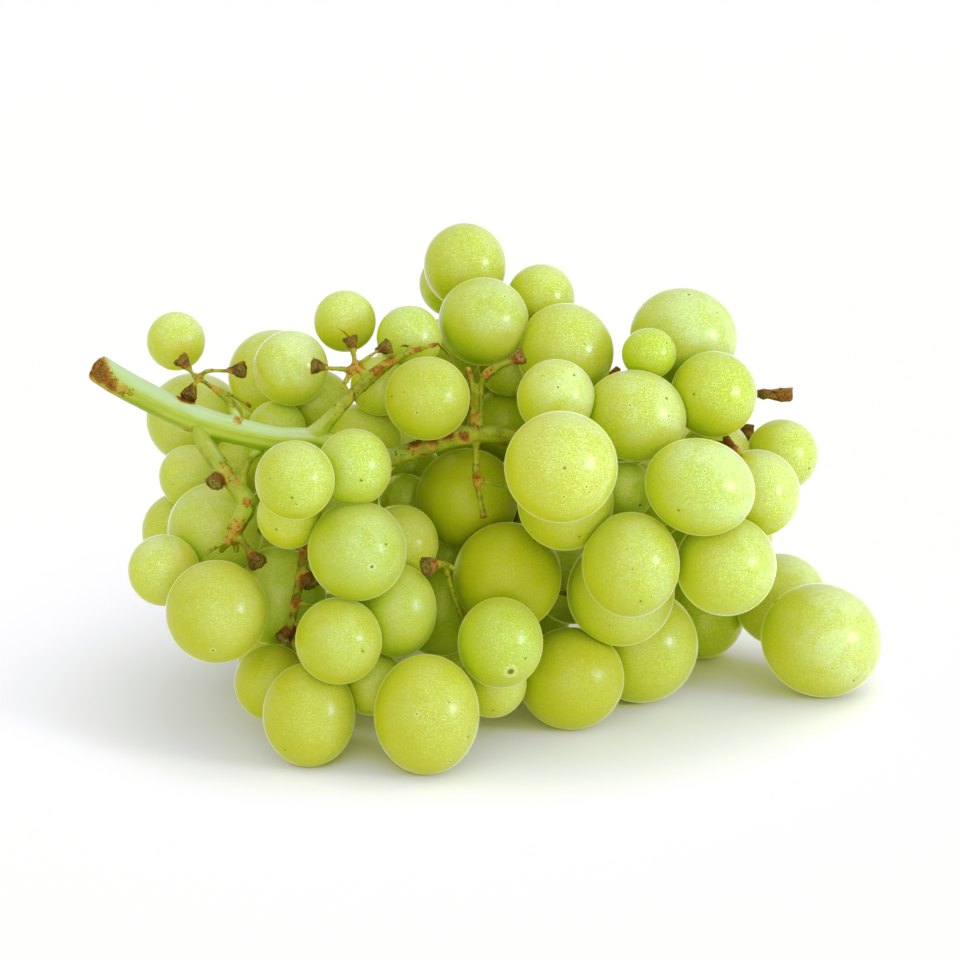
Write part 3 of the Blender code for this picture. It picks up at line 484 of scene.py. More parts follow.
stem_skin, tree, surface = start_material("green stem")
fibres = shade(tree, "TexNoise", {"Vector": kept(tree, "lengthwise").outputs["Vector"], "Scale": 3.6,
                                  "Detail": 2.0, "Roughness": 0.55}).outputs[0]
colour = mix_colours(tree, stretch(tree, fibres, 0.32, 0.70), FIBRE_DARK, FIBRE_LIGHT)
rising = shade(tree, "SeparateXYZ", {0: shade(tree, "NewGeometry").outputs["Normal"]}).outputs["Z"]
# Painted shade where the stalk faces down and painted light where it faces up.
colour = mix_colours(tree, stretch(tree, rising, 0.25, -0.35, 0.0, 0.9), colour, PAINTED_SHADE_UNDERSIDE)
colour = mix_colours(tree, stretch(tree, rising, 0.35, 0.9, 0.0, 0.55), colour, PAINTED_LIGHT_TOPSIDE)
cloudy = place_group(tree, mottling, Patch_Size=2.2, Grain_Size=0.35, Cover=0.5)
olive = mix_colours(tree, cloudy["Patches"], TWIG_DARK, TWIG_LIGHT)
twig_here = kept(tree, "twiggy").outputs["Fac"]
colour = mix_colours(tree, times(tree, twig_here, 0.85), colour, olive)
corky = place_group(tree, mottling, Patch_Size=3.4, Grain_Size=0.5, Cover=0.34)["Patches"]
colour = mix_colours(tree, times(tree, corky, twig_here, 0.7), colour, CORK)
scab_here = kept(tree, "scab").outputs["Fac"]
scabby = stretch(tree, calc(tree, "MULTIPLY_ADD", cloudy["Grain"], 0.5, scab_here), 0.5, 0.8)
peach = mix_colours(tree, cloudy["Patches"], PEACH_DARK, PEACH_LIGHT)
crust = mix_colours(tree, cloudy["Grain"], CRUST_DARK, CRUST_LIGHT)
crust = mix_colours(tree, stretch(tree, scab_here, 0.6, 0.95), peach, crust)
colour = mix_colours(tree, scabby, colour, crust)
browned = times(tree, kept(tree, "collar").outputs["Fac"], cloudy["Patches"], 0.7)
colour = mix_colours(tree, browned, colour, COLLAR_BROWN)
dots = place_group(tree, specks, Spacing=0.8, Size=0.17, Share=0.4)["Mask"]
dark = calc(tree, "MAXIMUM", stretch(tree, kept(tree, "warts").outputs["Fac"], 0.25, 0.8),
            times(tree, dots, twig_here))
colour = mix_colours(tree, times(tree, dark, 0.75), colour, WART_BROWN)
tree.links.new(colour, surface.inputs["Base Color"])
tree.links.new(calc(tree, "MULTIPLY_ADD", scabby, 0.3, 0.42), surface.inputs["Roughness"])
relief = calc(tree, "MULTIPLY_ADD", fibres, 0.5, times(tree, cloudy["Grain"], 0.35))
raised = shade(tree, "Bump", {"Height": relief, "Strength": 0.35, "Distance": 0.0001})
tree.links.new(raised.outputs[0], surface.inputs["Normal"])
set_inputs(surface, Subsurface_Weight=0.3, Subsurface_Radius=(1.0, 0.8, 0.3), Subsurface_Scale=0.0012,
           IOR=1.42, Specular_IOR_Level=0.35)
grown.materials.clear()
grown.materials.append(stem_skin)
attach(stem, "root")
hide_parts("stem")


# The knobs: where a berry has dropped off, its pedicel ends in a dried cap with a raised lip round
# the torn threads that fed the berry. One pedicel at the right ends in a dried flower bud, and a few
# threads hang on. All of it is dead, brown and brittle.
CAP_SCALE = 0.86
CAP_SIDES = 48
TUBE_SIDES = 20
THREAD_SIDES = 5
# Each cap by a place before it, its own place and its radius.
CAPS = (
    ((-58.0, 21.8, -29.0), (-59.9, 24.2, -29.0), 1.75), ((-49.6, 21.8, -29.5), (-47.5, 22.0, -29.5), 1.9),
    ((-57.4, 18.6, -29.0), (-58.3, 16.8, -29.5), 1.9), ((-31.0, 22.4, -35.5), (-33.2, 22.8, -35.5), 1.75),
    ((-25.2, 25.6, -35.0), (-26.0, 28.3, -34.5), 1.7), ((-20.0, 26.0, -35.5), (-18.4, 26.7, -35.5), 1.7),
    ((-51.6, 2.2, -34.0), (-53.1, -0.6, -36.0), 2.0), ((-46.6, -13.6, -34.5), (-44.5, -16.6, -36.0), 2.1),
    ((-35.8, -16.8, -29.2), (-33.8, -20.6, -31.0), 2.0), ((-37.6, -28.2, -30.0), (-39.3, -31.6, -31.0), 1.9),
    ((-7.2, -16.6, -34.5), (-10.6, -17.3, -36.5), 2.1), ((6.0, 23.6, -30.2), (8.4, 24.7, -30.0), 1.85),
)
# The bud's foot and tip, and its neck's radii by share of its length.
BUD = ((55.0, 17.3, -13.6), (62.6, 17.1, -14.2))
BUD_NECK = ((0.0, 0.70), (0.08, 0.72), (0.16, 0.95), (0.22, 1.10), (0.30, 1.00), (0.45, 0.80), (0.70, 0.55),
            (0.86, 0.30))
# Its petals: turn round the bud, where each starts and ends, half width, half thickness and how far
# it stands out.
PETALS = ((4.5, 0.12, 1.02, 1.15, 0.32, 1.25), (1.75, 0.12, 0.97, 1.10, 0.30, 1.30),
          (3.1, 0.10, 0.94, 1.10, 0.30, 1.0), (0.75, 0.14, 0.70, 0.70, 0.28, 1.05))
PETAL_STEPS = 24
# Dried threads, each by places and radius.
THREADS = (
    ((-26.2, 28.6, -35.2, 0.16), (-27.2, 29.6, -35.6, 0.12), (-28.4, 30.4, -35.6, 0.05)),
    ((-8.6, 27.4, -31.2, 0.24), (-7.4, 26.2, -32.0, 0.17), (-6.6, 25.4, -32.0, 0.12),
     (-6.0, 24.6, -31.6, 0.05)),
    ((-14.6, 26.8, -32.6, 0.30), (-15.4, 26.9, -33.4, 0.20), (-16.0, 26.6, -33.8, 0.06)),
    ((-25.2, 17.4, -37.6, 0.20), (-25.0, 16.4, -38.0, 0.16), (-24.8, 15.6, -38.0, 0.06)),
)
# Each ring of a cap: how far along it is, counted from the tip in parts of the radius, how wide it is,
# and whether it lies on the lip or in the hollow middle.
CAP_PROFILE = (
    (-1.75, 0.32, 0, 0), (-1.45, 0.40, 0, 0), (-1.15, 0.52, 0, 0), (-0.90, 0.66, 0, 0), (-0.65, 0.78, 0, 0),
    (-0.42, 0.88, 0, 0), (-0.20, 0.95, 0, 0), (0.00, 1.02, 0.3, 0), (0.15, 1.03, 1, 0), (0.26, 0.96, 1, 0),
    (0.28, 0.86, 1, 0), (0.18, 0.76, 0.8, 0), (0.00, 0.66, 0.2, 1), (-0.12, 0.52, 0, 1), (-0.12, 0.38, 0, 1),
    (0.00, 0.24, 0, 1), (0.06, 0.08, 0, 1),
)
# Caps that are more orange than the others, by their number.
RUSTY = (10, 11)
# How much of the lip's, the hollow's and the rusty colour the other parts show.
NECK_PART, PETAL_PART, THREAD_PART = (0.6, 0.0, 0.0), (0.15, 0.0, 0.75), (0.3, 0.0, 0.0)
KNOB_DARK, KNOB_LIGHT = (0.035, 0.017, 0.008), (0.14, 0.08, 0.028)
RUST_DARK, RUST_LIGHT = (0.18, 0.065, 0.045), (0.40, 0.19, 0.12)
LIP_DARK, LIP_LIGHT = (0.035, 0.012, 0.008), (0.20, 0.075, 0.035)
HOLLOW_DARK, HOLLOW_LIGHT = (0.08, 0.075, 0.02), (0.30, 0.30, 0.12)
PIT = (0.02, 0.01, 0.006)


def new_piece(name, points, faces):
    """A smooth piece from points in millimetres."""
    mesh = bpy.data.meshes.new(name)
    mesh.from_pydata((points * MM).tolist(), [], faces)
    mesh.shade_smooth()
    piece = bpy.data.objects.new(name, mesh)
    bpy.context.collection.objects.link(piece)
    return piece


def frame_along(way):
    """Three square directions with the last along the way."""
    way = way / np.linalg.norm(way)
    side = np.cross(way, (0.31, 0.22, 0.93))
    side /= np.linalg.norm(side)
    return np.array((side, np.cross(way, side), way))


knob_points, knob_faces, knob_parts = [], [], []


def add_tube(rings, ring_parts):
    """Adds a closed tube through rings of points to the knobs, with each ring's part of the look."""
    first, sides = len(knob_points), len(rings[0])
    for ring in range(len(rings) - 1):
        for k in range(sides):
            low, next_low = first + ring * sides + k, first + ring * sides + (k + 1) % sides
            knob_faces.append((low, next_low, next_low + sides, low + sides))
    knob_faces.append(tuple(first + k for k in range(sides))[::-1])
    knob_faces.append(tuple(first + (len(rings) - 1) * sides + k for k in range(sides)))
    knob_points.extend(np.concatenate(rings))
    knob_parts.extend(np.repeat(ring_parts, sides, axis=0))


cap_turns = np.arange(CAP_SIDES) * 2.0 * math.pi / CAP_SIDES
for number, (before, end, radius) in enumerate(CAPS):
    before, end = seen_at(*before), seen_at(*end)
    points = np.array([(math.cos(t) * wide, math.sin(t) * wide, along)
                       for along, wide, *_ in CAP_PROFILE for t in cap_turns])
    turn = np.arctan2(points[:, 1], points[:, 0])
    ring = np.column_stack((np.cos(turn), np.sin(turn), points[:, 2]))
    lumps = bumps(ring, 0.55, 3.1 * number) + 0.6 * bumps(ring, 0.25, 7.3 * number + 2.0)
    points[:, :2] *= (1.0 + 0.16 * lumps + 0.08 * bumps(ring, 0.13, 4.3 * number))[:, None]
    points[:, 2] += 0.16 * bumps(ring, 0.4, 5.7 * number + 1.0) + 0.05 * bumps(ring, 0.14, 9.1 * number)
    lean = frame_along(end - before + 0.5 * np.array((0.0, -1.0, 0.0)))
    cap = end + CAP_SCALE * radius * points @ lean
    add_tube(cap.reshape(len(CAP_PROFILE), CAP_SIDES, 3), [(*row[2:], number in RUSTY) for row in CAP_PROFILE])

round_turns = np.arange(TUBE_SIDES) * 2.0 * math.pi / TUBE_SIDES
bud_foot, bud_tip = seen_at(*BUD[0]), seen_at(*BUD[1])
side, other, way = frame_along(bud_tip - bud_foot)
bud_length = np.linalg.norm(bud_tip - bud_foot)
neck = []
for share, wide in BUD_NECK:
    lumps = 1.0 + 0.12 * np.cos(3.0 * round_turns + 9.0 * share) + 0.06 * np.cos(7.0 * round_turns)
    ring = np.outer(np.cos(round_turns) * lumps, side) + np.outer(np.sin(round_turns) * lumps, other)
    neck.append(bud_foot + share * bud_length * way + wide * ring)
add_tube(neck, [NECK_PART] * len(neck))
for turn, first_share, last_share, wide, thick, rise in PETALS:
    out = math.cos(turn) * side + math.sin(turn) * other
    aside = np.cross(way, out)
    petal = []
    for step in np.linspace(0.02, 0.98, PETAL_STEPS):
        fullness = math.sin(math.pi * step ** 1.5) ** 0.55
        share = first_share + (last_share - first_share) * step
        middle = bud_foot + share * bud_length * way + rise * (0.25 + 0.75 * step) * out
        curl = 0.45 * wide * (fullness * np.sin(round_turns)) ** 2
        body = (thick * fullness * np.cos(round_turns) - curl) * (1.0 + 0.2 * np.sin(17.0 * step + turn))
        petal.append(middle + np.outer(body, out) + np.outer(wide * fullness * np.sin(round_turns), aside))
    add_tube(petal, [PETAL_PART] * len(petal))
thread_turns = np.arange(THREAD_SIDES) * 2.0 * math.pi / THREAD_SIDES
for thread in THREADS:
    steps = np.array([(*seen_at(*step[:3]), step[3]) for step in thread])
    side, other, _ = frame_along(steps[-1, :3] - steps[0, :3])
    ring = np.outer(np.cos(thread_turns), side) + np.outer(np.sin(thread_turns), other)
    add_tube([step[:3] + step[3] * ring for step in steps], [THREAD_PART] * len(steps))

knobs = new_piece("dried_knobs", np.array(knob_points), knob_faces)
keep_value(knobs.data, "parts", np.array(knob_parts, float))

knob_skin, tree, surface = start_material("dried knobs")
cloudy = place_group(tree, mottling, Patch_Size=1.3, Grain_Size=0.28, Cover=0.5)
on_lip, in_hollow, is_rusty = shade(tree, "SeparateXYZ", {0: kept(tree, "parts").outputs["Vector"]}).outputs
colour = mix_colours(tree, cloudy["Patches"], KNOB_DARK, KNOB_LIGHT)
rust = mix_colours(tree, cloudy["Grain"], RUST_DARK, RUST_LIGHT)
colour = mix_colours(tree, times(tree, is_rusty, 0.75), colour, rust)
lip = mix_colours(tree, cloudy["Grain"], LIP_DARK, LIP_LIGHT)
colour = mix_colours(tree, times(tree, on_lip, 0.85), colour, lip)
hollow = mix_colours(tree, cloudy["Grain"], HOLLOW_DARK, HOLLOW_LIGHT)
colour = mix_colours(tree, times(tree, in_hollow, 0.8), colour, hollow)
pits = place_group(tree, specks, Spacing=0.7, Size=0.2, Share=0.6)["Mask"]
colour = mix_colours(tree, times(tree, pits, 0.8), colour, PIT)
tree.links.new(colour, surface.inputs["Base Color"])
tree.links.new(calc(tree, "MULTIPLY_ADD", cloudy["Grain"], 0.25, 0.5), surface.inputs["Roughness"])
relief = calc(tree, "SUBTRACT", cloudy["Grain"], pits)
raised = shade(tree, "Bump", {"Height": relief, "Strength": 0.7, "Distance": 0.00015})
tree.links.new(raised.outputs[0], surface.inputs["Normal"])
knobs.data.materials.append(knob_skin)
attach(knobs, "root")


# The berries: round to slightly oval, thin waxy skin over clear flesh. Each hangs on its pedicel and
# is pressed flat where it meets a neighbour. One piece for each fused group, one skin for them all.
BERRY_SIDES = 64
RING_ANGLES = np.radians(np.concatenate(((1.2, 2.8, 4.8, 7.2, 10.0, 13.5, 17.5), np.linspace(22.0, 158.0, 31),
                                         (162.5, 166.5, 170.0, 172.8, 175.2, 177.2, 178.8))))
SOFT_EDGE = 0.05
SKIN_GAP = 0.03
FARTHEST_OUT = 2.0
FLOOR_EDGE = 0.4
# The skin's lumps by height and size, the dimple at the stem end, its rim, and the dimple at the scar.
LUMPS = ((0.010, 1.1), (0.004, 0.5))
DIMPLE, DIMPLE_RIM, SCAR_DIMPLE = 0.030, 0.012, 0.012
# Berries that differ from the others, by where they are seen: across and up, and how much painted shade they get.
GREENER = ((33.4, 25.0), (-16.4, -25.6), (-16.0, -12.6), (-40.6, 10.4), (-23.6, 6.6), (2.6, -40.6),
           (29.0, -2.0), (17.2, -4.6), (-40.0, -24.0), (-15.0, 30.6), (-8.0, -26.4))
GOLDEN = ((68.2, -32.0), (-34.2, -46.8), (-10.0, -46.2), (-52.4, -26.0), (16.2, 2.6), (18.2, -39.6),
          (5.4, -19.4), (-2.6, -4.0))
# Painted shade: berries deep in the bunch and low down are painted a darker olive, with less bloom, coat, grain and
# edge glow.
SHADED_BERRIES = ((-10.0, -46.2, 0.30), (-34.2, -46.8, 0.35), (-52.4, -26.0, 0.35), (18.2, -39.6, 0.4),
        (5.4, -19.4, 0.6), (-2.6, -4.0, 0.6), (5.0, 11.0, 0.5), (-8.0, -26.4, 0.5), (33.0, -38.0, 0.2),
        (28.2, -23.0, 0.2), (17.2, -12.4, 0.25), (-42.6, -40.4, 0.35), (-40.0, -28.0, 0.25),
        (-21.6, 20.0, 0.2), (-28.4, -32.2, 0.35), (-11.0, 16.8, 0.35), (-16.4, -25.6, 0.35),
        (30.3, -16.6, 0.25), (0.4, 31.8, 0.25), (-24.6, -13.9, 0.2), (-37.0, 0.0, 0.25), (-16.0, -12.6, 0.3),
        (3.4, -33.1, 0.25), (-3.0, 43.0, 0.2))
CLOUDY = ((-57.0, 12.2), (-58.0, 0.8), (-59.8, -10.2), (-63.3, -18.1), (-40.0, -24.0), (-52.4, -26.0),
          (-16.0, -12.6), (-16.4, -25.6), (-28.4, -32.3), (68.2, -32.0), (-38.0, 22.4))
GREEN_RIPENESS, GOLDEN_RIPENESS, CLOUDY_BLOOM = 0.05, 0.85, 0.9
# The others: middle and spread of ripeness and bloom, and one amount of painted shade.
RIPENESS, RIPENESS_SPREAD = 0.52, 0.10
BLOOM_COVER, BLOOM_SPREAD = 0.5, 0.15
USUAL_PAINTED_SHADE = 0.1
# Dark specks and scars on the skin, by across, up and size.
MARKS = (
    (16.8, -3.4, 0.30), (21.4, -1.4, 0.30), (13.8, 1.8, 0.25), (16.6, -5.2, 0.22), (-21.6, -17.4, 0.45),
    (-12.6, -46.8, 0.30), (-7.2, -47.6, 0.28), (-6.0, -56.4, 0.35), (-40.0, -5.0, 0.28), (-36.6, -5.0, 0.28),
    (-12.6, 13.4, 0.30), (-8.0, 14.0, 0.22), (5.0, 36.8, 0.28), (3.8, 30.0, 0.25), (15.6, 18.6, 0.32),
    (30.0, 15.0, 0.28), (37.8, 12.8, 0.28), (37.4, 27.4, 0.30), (53.2, -6.8, 0.28), (45.0, 1.8, 0.25),
    (52.0, -0.6, 0.22), (32.4, -25.8, 0.30), (36.6, -27.6, 0.28), (-53.4, -34.2, 0.40), (-38.4, -34.8, 0.30),
    (6.2, -38.4, 0.9), (59.0, -24.2, 0.9), (41.8, 37.2, 0.45), (-57.6, 31.2, 0.25), (-48.2, 28.0, 0.25),
)
MOST_MARKS = 4
NO_MARK = (np.full(3, 1e4), 0.1)
# The side that faces the lights: the whitish bloom is painted on thickest there, a painted sheen over the real
# bloom.
LIGHTS_SIDE = (0.60, -0.50, 0.62)
# Colours: the flesh by ripeness, its cloudy patches, its grain and its painted shade, the bloom with its painted
# sheen, and its grain, the pale dots, the painted reflection at the thin edge and its painted glow, the blush, and
# the specks with their pale rings.
UNRIPE, RIPE = (0.255, 0.43, 0.008), (0.455, 0.465, 0.005)
PALE_FLESH, FLESH_GRAIN, SHADED_FLESH = (0.385, 0.475, 0.008), (0.235, 0.345, 0.003), (0.22, 0.255, 0.004)
BLOOM_AND_SHEEN, BLOOM_GRAIN, PALE_DOT = (0.74, 0.88, 0.72), (0.70, 0.82, 0.24), (0.80, 0.90, 0.32)
RIM_REFLECTION, RIM_GLOW, NO_LIGHT = (0.88, 0.95, 0.60), (0.80, 0.90, 0.42), (0.0, 0.0, 0.0)
BLUSH, SPECK, SPECK_RING = (0.60, 0.36, 0.02), (0.06, 0.04, 0.01), (0.80, 0.84, 0.40)


def melon(angles, sides):
    """Directions and faces of a ball in rings that lie closer at the two poles."""
    turns = np.arange(sides) * 2.0 * math.pi / sides
    rings = [np.column_stack((math.sin(angle) * np.cos(turns), math.sin(angle) * np.sin(turns),
                              np.full(sides, math.cos(angle)))) for angle in angles]
    points = np.concatenate(([(0.0, 0.0, 1.0)], *rings, [(0.0, 0.0, -1.0)]))
    last = len(points) - 1
    faces = [(0, 1 + k, 1 + (k + 1) % sides) for k in range(sides)]
    for ring in range(len(angles) - 1):
        for k in range(sides):
            high, next_high = 1 + ring * sides + k, 1 + ring * sides + (k + 1) % sides
            faces.append((high, high + sides, next_high + sides, next_high))
    faces.extend((last - sides + k, last, last - sides + (k + 1) % sides) for k in range(sides))
    return points, faces


def lesser(first, second, width):
    """The lesser of two values, rounded off where they are closer than the width."""
    share = np.clip(0.5 + 0.5 * (second - first) / width, 0.0, 1.0)
    return second + (first - second) * share - width * share * (1.0 - share)


def pressed(berry, others, points):
    """How far out each point of a berry can stand before it meets a neighbour, 1 where it is free."""
    reach = np.ones(len(points))
    for other in others:
        shape = other["axes"].T / other["half"]
        gap = (berry["centre"] - other["centre"]) @ shape
        way = (points - berry["centre"]) @ shape
        across = -2.0 * way @ gap
        size = np.sum(way * way, axis=1)
        span = across ** 2 + 4.0 * (1.0 - size) * (gap @ gap)
        both = across + np.sqrt(np.maximum(span, 0.0))
        meets = np.where((span > 0.0) & (both > 1e-6), 2.0 * (gap @ gap) / np.maximum(both, 1e-6), np.inf)
        meets = np.minimum(meets - SKIN_GAP / berry["half"].min(), FARTHEST_OUT)
        reach = lesser(reach, meets, SOFT_EDGE)
    return reach


def first_hit(across, up):
    """The berry that the camera sees at this place, and the point on its skin."""
    way = CAMERA_DISTANCE * AHEAD + across * RIGHT + up * UPWARD
    best = (math.inf, None, None)
    for berry in berries:
        shape = berry["axes"].T / berry["half"]
        start, step = (EYE - berry["centre"]) @ shape, way @ shape
        a, b, c = step @ step, 2.0 * start @ step, start @ start - 1.0
        if b * b > 4.0 * a * c:
            share = (-b - math.sqrt(b * b - 4.0 * a * c)) / (2.0 * a)
            if share < best[0]:
                best = (share, berry, EYE + share * way)
    return best[1:]


stem_spots = mesh_points(grown) / MM
chance = np.random.default_rng(5)
for berry in berries:
    berry["marks"] = []
    berry["dullness"] = USUAL_PAINTED_SHADE
    berry["ripeness"] = RIPENESS + RIPENESS_SPREAD * chance.standard_normal()
    berry["bloom"] = BLOOM_COVER + BLOOM_SPREAD * chance.standard_normal()
    berry["seed"] = chance.uniform(0.0, 100.0, 3)
    if berry["stem_end"] is None:
        nearest = np.argmin(np.linalg.norm(stem_spots - berry["centre"], axis=1))
        berry["stem_way"] = stem_spots[nearest] - berry["centre"]
    else:
        berry["stem_way"] = berry["stem_end"] - berry["centre"]
for across, up in GREENER:
    first_hit(across, up)[0]["ripeness"] = GREEN_RIPENESS
for across, up in GOLDEN:
    first_hit(across, up)[0]["ripeness"] = GOLDEN_RIPENESS
for across, up, dullness in SHADED_BERRIES:
    first_hit(across, up)[0]["dullness"] = dullness
for across, up in CLOUDY:
    first_hit(across, up)[0]["bloom"] = CLOUDY_BLOOM
for across, up, size in MARKS:
    berry, spot = first_hit(across, up)
    if berry is not None and len(berry["marks"]) < MOST_MARKS:
        berry["marks"].append((spot, size))

berry_pieces = []
ball, ball_faces = melon(RING_ANGLES, BERRY_SIDES)
from_stem_end = np.degrees(np.arccos(np.clip(ball[:, 2], -1.0, 1.0)))
for group in sorted({berry["group"] for berry in berries}):
    members = [berry for berry in berries if berry["group"] == group]
    all_points, all_faces, values = [], [], {}
    for berry in members:
        local_way = (berry["stem_way"] @ berry["axes"].T) / berry["half"]
        local = ball @ frame_along(local_way)
        swell = sum(height * bumps(local + berry["seed"], size) for height, size in LUMPS)
        swell -= DIMPLE * smooth_step(from_stem_end, 17.0, 3.0)
        swell += DIMPLE_RIM * smooth_step(np.abs(from_stem_end - 12.0), 6.0, 0.0)
        swell -= SCAR_DIMPLE * smooth_step(180.0 - from_stem_end, 6.0, 0.5)
        shell = berry["centre"] + (local * berry["half"]) @ berry["axes"]
        widest = berry["half"].max()
        touching = [other for other in members if other is not berry
                    and np.linalg.norm(other["centre"] - berry["centre"]) < other["half"].max() + widest]
        share = lesser(1.0 + swell, pressed(berry, touching, shell), SOFT_EDGE)
        points = berry["centre"] + (shell - berry["centre"]) * share[:, None]
        points[:, 2] = -lesser(-points[:, 2], np.zeros(len(points)), FLOOR_EDGE)
        first_point = sum(len(rows) for rows in all_points)
        all_points.append(points)
        all_faces.extend(tuple(first_point + k for k in face) for face in ball_faces)
        marks = berry["marks"] + [NO_MARK] * (MOST_MARKS - len(berry["marks"]))
        row = {"stem_end": points[0], "style_scar": points[-1],
               "ripeness_bloom_shade": (berry["ripeness"], berry["bloom"], berry["dullness"]),
               "mark_sizes": [size for _, size in marks[:3]]}
        row.update((f"mark_{number}", spot) for number, (spot, _) in enumerate(marks, 1))
        for name, value in row.items():
            values.setdefault(name, []).append(np.tile(value, (len(points), 1)))
    piece = new_piece(group.replace("berr", "grape_berr"), np.concatenate(all_points), all_faces)
    for name, rows in values.items():
        keep_value(piece.data, name, np.concatenate(rows))
    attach(piece, "root")
    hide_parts(group)
    berry_pieces.append(piece)

grape_skin, tree, surface = start_material("grape skin")
where = scaled_place(tree, 1.0 / MM)


def near(name, inner, outer):
    """1 within the inner distance of the spot that a berry keeps under this name, 0 beyond the outer."""
    spot = kept(tree, name).outputs["Vector"]
    gap = shade(tree, "VectorMath", {0: where, 1: spot}, operation="DISTANCE").outputs["Value"]
    return stretch(tree, gap, outer, inner)


ripeness, bloom, dullness = shade(tree, "SeparateXYZ", {0: kept(tree, "ripeness_bloom_shade").outputs["Vector"]}).outputs
veil = place_group(tree, mottling, Patch_Size=6.0, Grain_Size=0.24, Cover=0.55)
flesh = place_group(tree, mottling, Patch_Size=4.0, Grain_Size=0.9, Cover=0.5)
normal = shade(tree, "NewGeometry").outputs["Normal"]
# How far the skin faces the lights, for the painted sheen, and how far it faces the back.
toward_lights = shade(tree, "VectorMath", {0: normal, 1: LIGHTS_SIDE}, operation="DOT_PRODUCT").outputs["Value"]
backward = shade(tree, "SeparateXYZ", {0: normal}).outputs["Y"]
lit_and_back_side = calc(tree, "MAXIMUM", stretch(tree, toward_lights, -0.30, 0.90, 0.05, 1.0),
                 stretch(tree, backward, 0.10, 0.85, 0.0, 0.75))
# Painted shade: clear falls from 1 to 0 with a berry's painted shade, and takes away its coat, bloom, grain and
# edge glow.
clear = stretch(tree, dullness, 0.0, 0.65, 1.0, 0.0)
tree.links.new(calc(tree, "MULTIPLY_ADD", clear, 0.5, 0.1), surface.inputs["Coat Weight"])

colour = mix_colours(tree, ripeness, UNRIPE, RIPE)
colour = mix_colours(tree, times(tree, flesh["Patches"], 0.35), colour, PALE_FLESH)
colour = mix_colours(tree, times(tree, flesh["Grain"], 0.32), colour, FLESH_GRAIN)
# Painted shade: shaded berries are painted a darker olive.
colour = mix_colours(tree, dullness, colour, SHADED_FLESH)
bloom_out_of_shade = times(tree, calc(tree, "MULTIPLY_ADD", veil["Patches"], 0.5, 0.5), times(tree, bloom, clear))
# Painted sheen: the whitish bloom, real in its patches, is laid on most toward the lights and on the back, least on
# shaded berries.
colour = mix_colours(tree, times(tree, bloom_out_of_shade, lit_and_back_side, 0.36), colour, BLOOM_AND_SHEEN)
# Painted light and shade: the pale grain and dots are stronger toward the lights and fainter on shaded berries.
grain_by_light = times(tree, calc(tree, "MULTIPLY_ADD", lit_and_back_side, 0.32, 0.22),
                 calc(tree, "MULTIPLY_ADD", clear, 0.7, 0.3))
colour = mix_colours(tree, times(tree, veil["Grain"], grain_by_light), colour, BLOOM_GRAIN)
pale_dots = place_group(tree, specks, Spacing=0.7, Size=0.16, Share=0.6)["Mask"]
colour = mix_colours(tree, times(tree, pale_dots, grain_by_light, 0.6), colour, PALE_DOT)

# Painted reflection: the thin edge of a berry is painted pale, as the white surroundings seen at a grazing angle,
# and given a painted glow by emission, less on shaded berries.
edge = stretch(tree, shade(tree, "LayerWeight", {"Blend": 0.5}).outputs["Facing"], 0.74, 0.88)
colour = mix_colours(tree, times(tree, edge, 0.6), colour, RIM_REFLECTION)
rim_glow = mix_colours(tree, times(tree, edge, clear), NO_LIGHT, RIM_GLOW)
tree.links.new(rim_glow, surface.inputs["Emission Color"])

blush = times(tree, near("stem_end", 1.0, 4.6), times(tree, ripeness, 0.35))
colour = mix_colours(tree, blush, colour, BLUSH)
dark_dots = place_group(tree, specks, Spacing=4.2, Size=0.15, Share=0.5)["Mask"]
dark = calc(tree, "MAXIMUM", dark_dots, near("style_scar", 0.12, 0.40))
ring = 0.0
size_1, size_2, size_3 = shade(tree, "SeparateXYZ", {0: kept(tree, "mark_sizes").outputs["Vector"]}).outputs
for name, size in (("mark_1", size_1), ("mark_2", size_2), ("mark_3", size_3), ("mark_4", size_3)):
    spot = near(name, times(tree, size, 0.50), times(tree, size, 1.0))
    round_it = near(name, times(tree, size, 1.3), times(tree, size, 2.0))
    dark = calc(tree, "MAXIMUM", dark, spot)
    ring = calc(tree, "MAXIMUM", round_it, ring)
colour = mix_colours(tree, times(tree, ring, 0.25), colour, SPECK_RING)
colour = mix_colours(tree, times(tree, dark, 0.92), colour, SPECK)
tree.links.new(colour, surface.inputs["Base Color"])

shine = calc(tree, "MULTIPLY_ADD", bloom_out_of_shade, 0.20, 0.30)
tree.links.new(calc(tree, "MULTIPLY_ADD", dark, 0.2, shine), surface.inputs["Roughness"])
relief = calc(tree, "MULTIPLY_ADD", veil["Grain"], 0.35, times(tree, flesh["Grain"], 0.8))
relief = calc(tree, "MULTIPLY_ADD", dark, -0.6, relief)
raised = shade(tree, "Bump", {"Height": relief, "Strength": 0.25, "Distance": 0.0001})
tree.links.new(raised.outputs[0], surface.inputs["Normal"])
set_inputs(surface, Subsurface_Weight=1.0, Subsurface_Radius=(1.0, 0.95, 0.12), Subsurface_Scale=0.014,
           IOR=1.42, Specular_IOR_Level=0.4, Coat_Roughness=0.2, Coat_IOR=1.45, Emission_Strength=0.15)
for piece in berry_pieces:
    piece.data.materials.append(grape_skin)


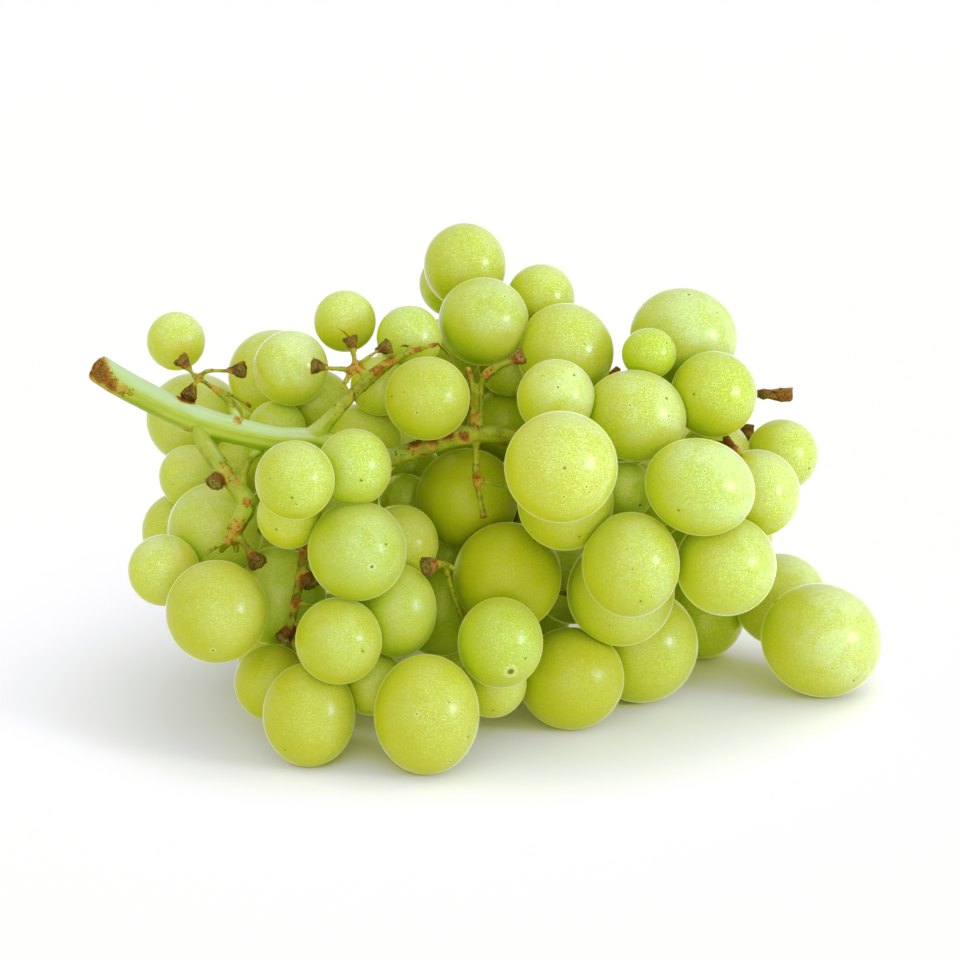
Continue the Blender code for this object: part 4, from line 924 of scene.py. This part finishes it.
# The floor: a plain sheet of white paper that the bunch lies on, bright enough to melt into the
# background. It belongs to the stage, not to the part.
FLOOR_HALF = 4.0
floor_mesh = bpy.data.meshes.new("floor")
floor_mesh.from_pydata([(x * FLOOR_HALF, y * FLOOR_HALF, 0.0) for x, y in ((-1, -1), (1, -1), (1, 1), (-1, 1))],
                       [], [(0, 1, 2, 3)])
floor = bpy.data.objects.new("floor", floor_mesh)
bpy.context.collection.objects.link(floor)
paper, _, surface = start_material("white paper")
set_inputs(surface, Base_Color=(0.955, 0.945, 0.985, 1.0), Roughness=0.7, Specular_IOR_Level=0.2)
floor_mesh.materials.append(paper)


# The light of a white studio: bright walls all round, a wide soft light from above, a weak wide one
# from the front, and a soft box at the right whose bright middle makes the highlight on each berry.
WALLS = (0.985, 0.985, 1.01, 1.0)
WALL_STRENGTH = 0.87
# The picture's tones follow the photograph's: red and green are lifted in its shade, and blue falls
# away there.
LIFTED = ((0.05, 0.08), (0.12, 0.19), (0.17, 0.26), (0.25, 0.355), (0.35, 0.445), (0.48, 0.53),
          (0.65, 0.655), (0.85, 0.86), (0.96, 0.995))
SUNKEN = ((0.02, 0.008), (0.05, 0.025), (0.10, 0.065), (0.17, 0.14), (0.25, 0.27), (0.35, 0.40),
          (0.48, 0.51), (0.65, 0.66), (0.85, 0.86), (0.96, 0.995))
world = bpy.data.worlds.new("white studio")
bpy.context.scene.world = world
world.use_nodes = True
set_inputs(world.node_tree.nodes["Background"], Color=WALLS, Strength=WALL_STRENGTH)


def hang_light(name, kind, way, distance, power, **settings):
    """A light that hangs this way and far from the bunch and faces it."""
    data = bpy.data.lights.new(name, kind)
    data.energy = power
    for setting, value in settings.items():
        setattr(data, setting, value)
    light = bpy.data.objects.new(name, data)
    way = Vector(way).normalized()
    light.location = Vector(VIEW_MIDDLE * MM) + distance * way
    light.rotation_euler = way.to_track_quat("Z", "Y").to_euler()
    bpy.context.collection.objects.link(light)


hang_light("overhead", "SUN", (0.42, -0.05, 1.0), 1.5, 0.45, angle=math.radians(75.0))
hang_light("right", "AREA", (0.87, -0.48, 0.30), 1.0, 1.0, size=0.42)
hang_light("front", "AREA", (-0.12, -1.0, 0.42), 1.2, 3.6, size=1.1)
hang_light("right middle", "AREA", (0.87, -0.48, 0.26), 0.98, 2.0, size=0.18)

view = bpy.context.scene.view_settings
view.view_transform = "Standard"
view.use_curve_mapping = True
for curve, steps in zip(view.curve_mapping.curves, (LIFTED, LIFTED, SUNKEN)):
    for step in steps:
        curve.points.new(*step)
view.curve_mapping.update()
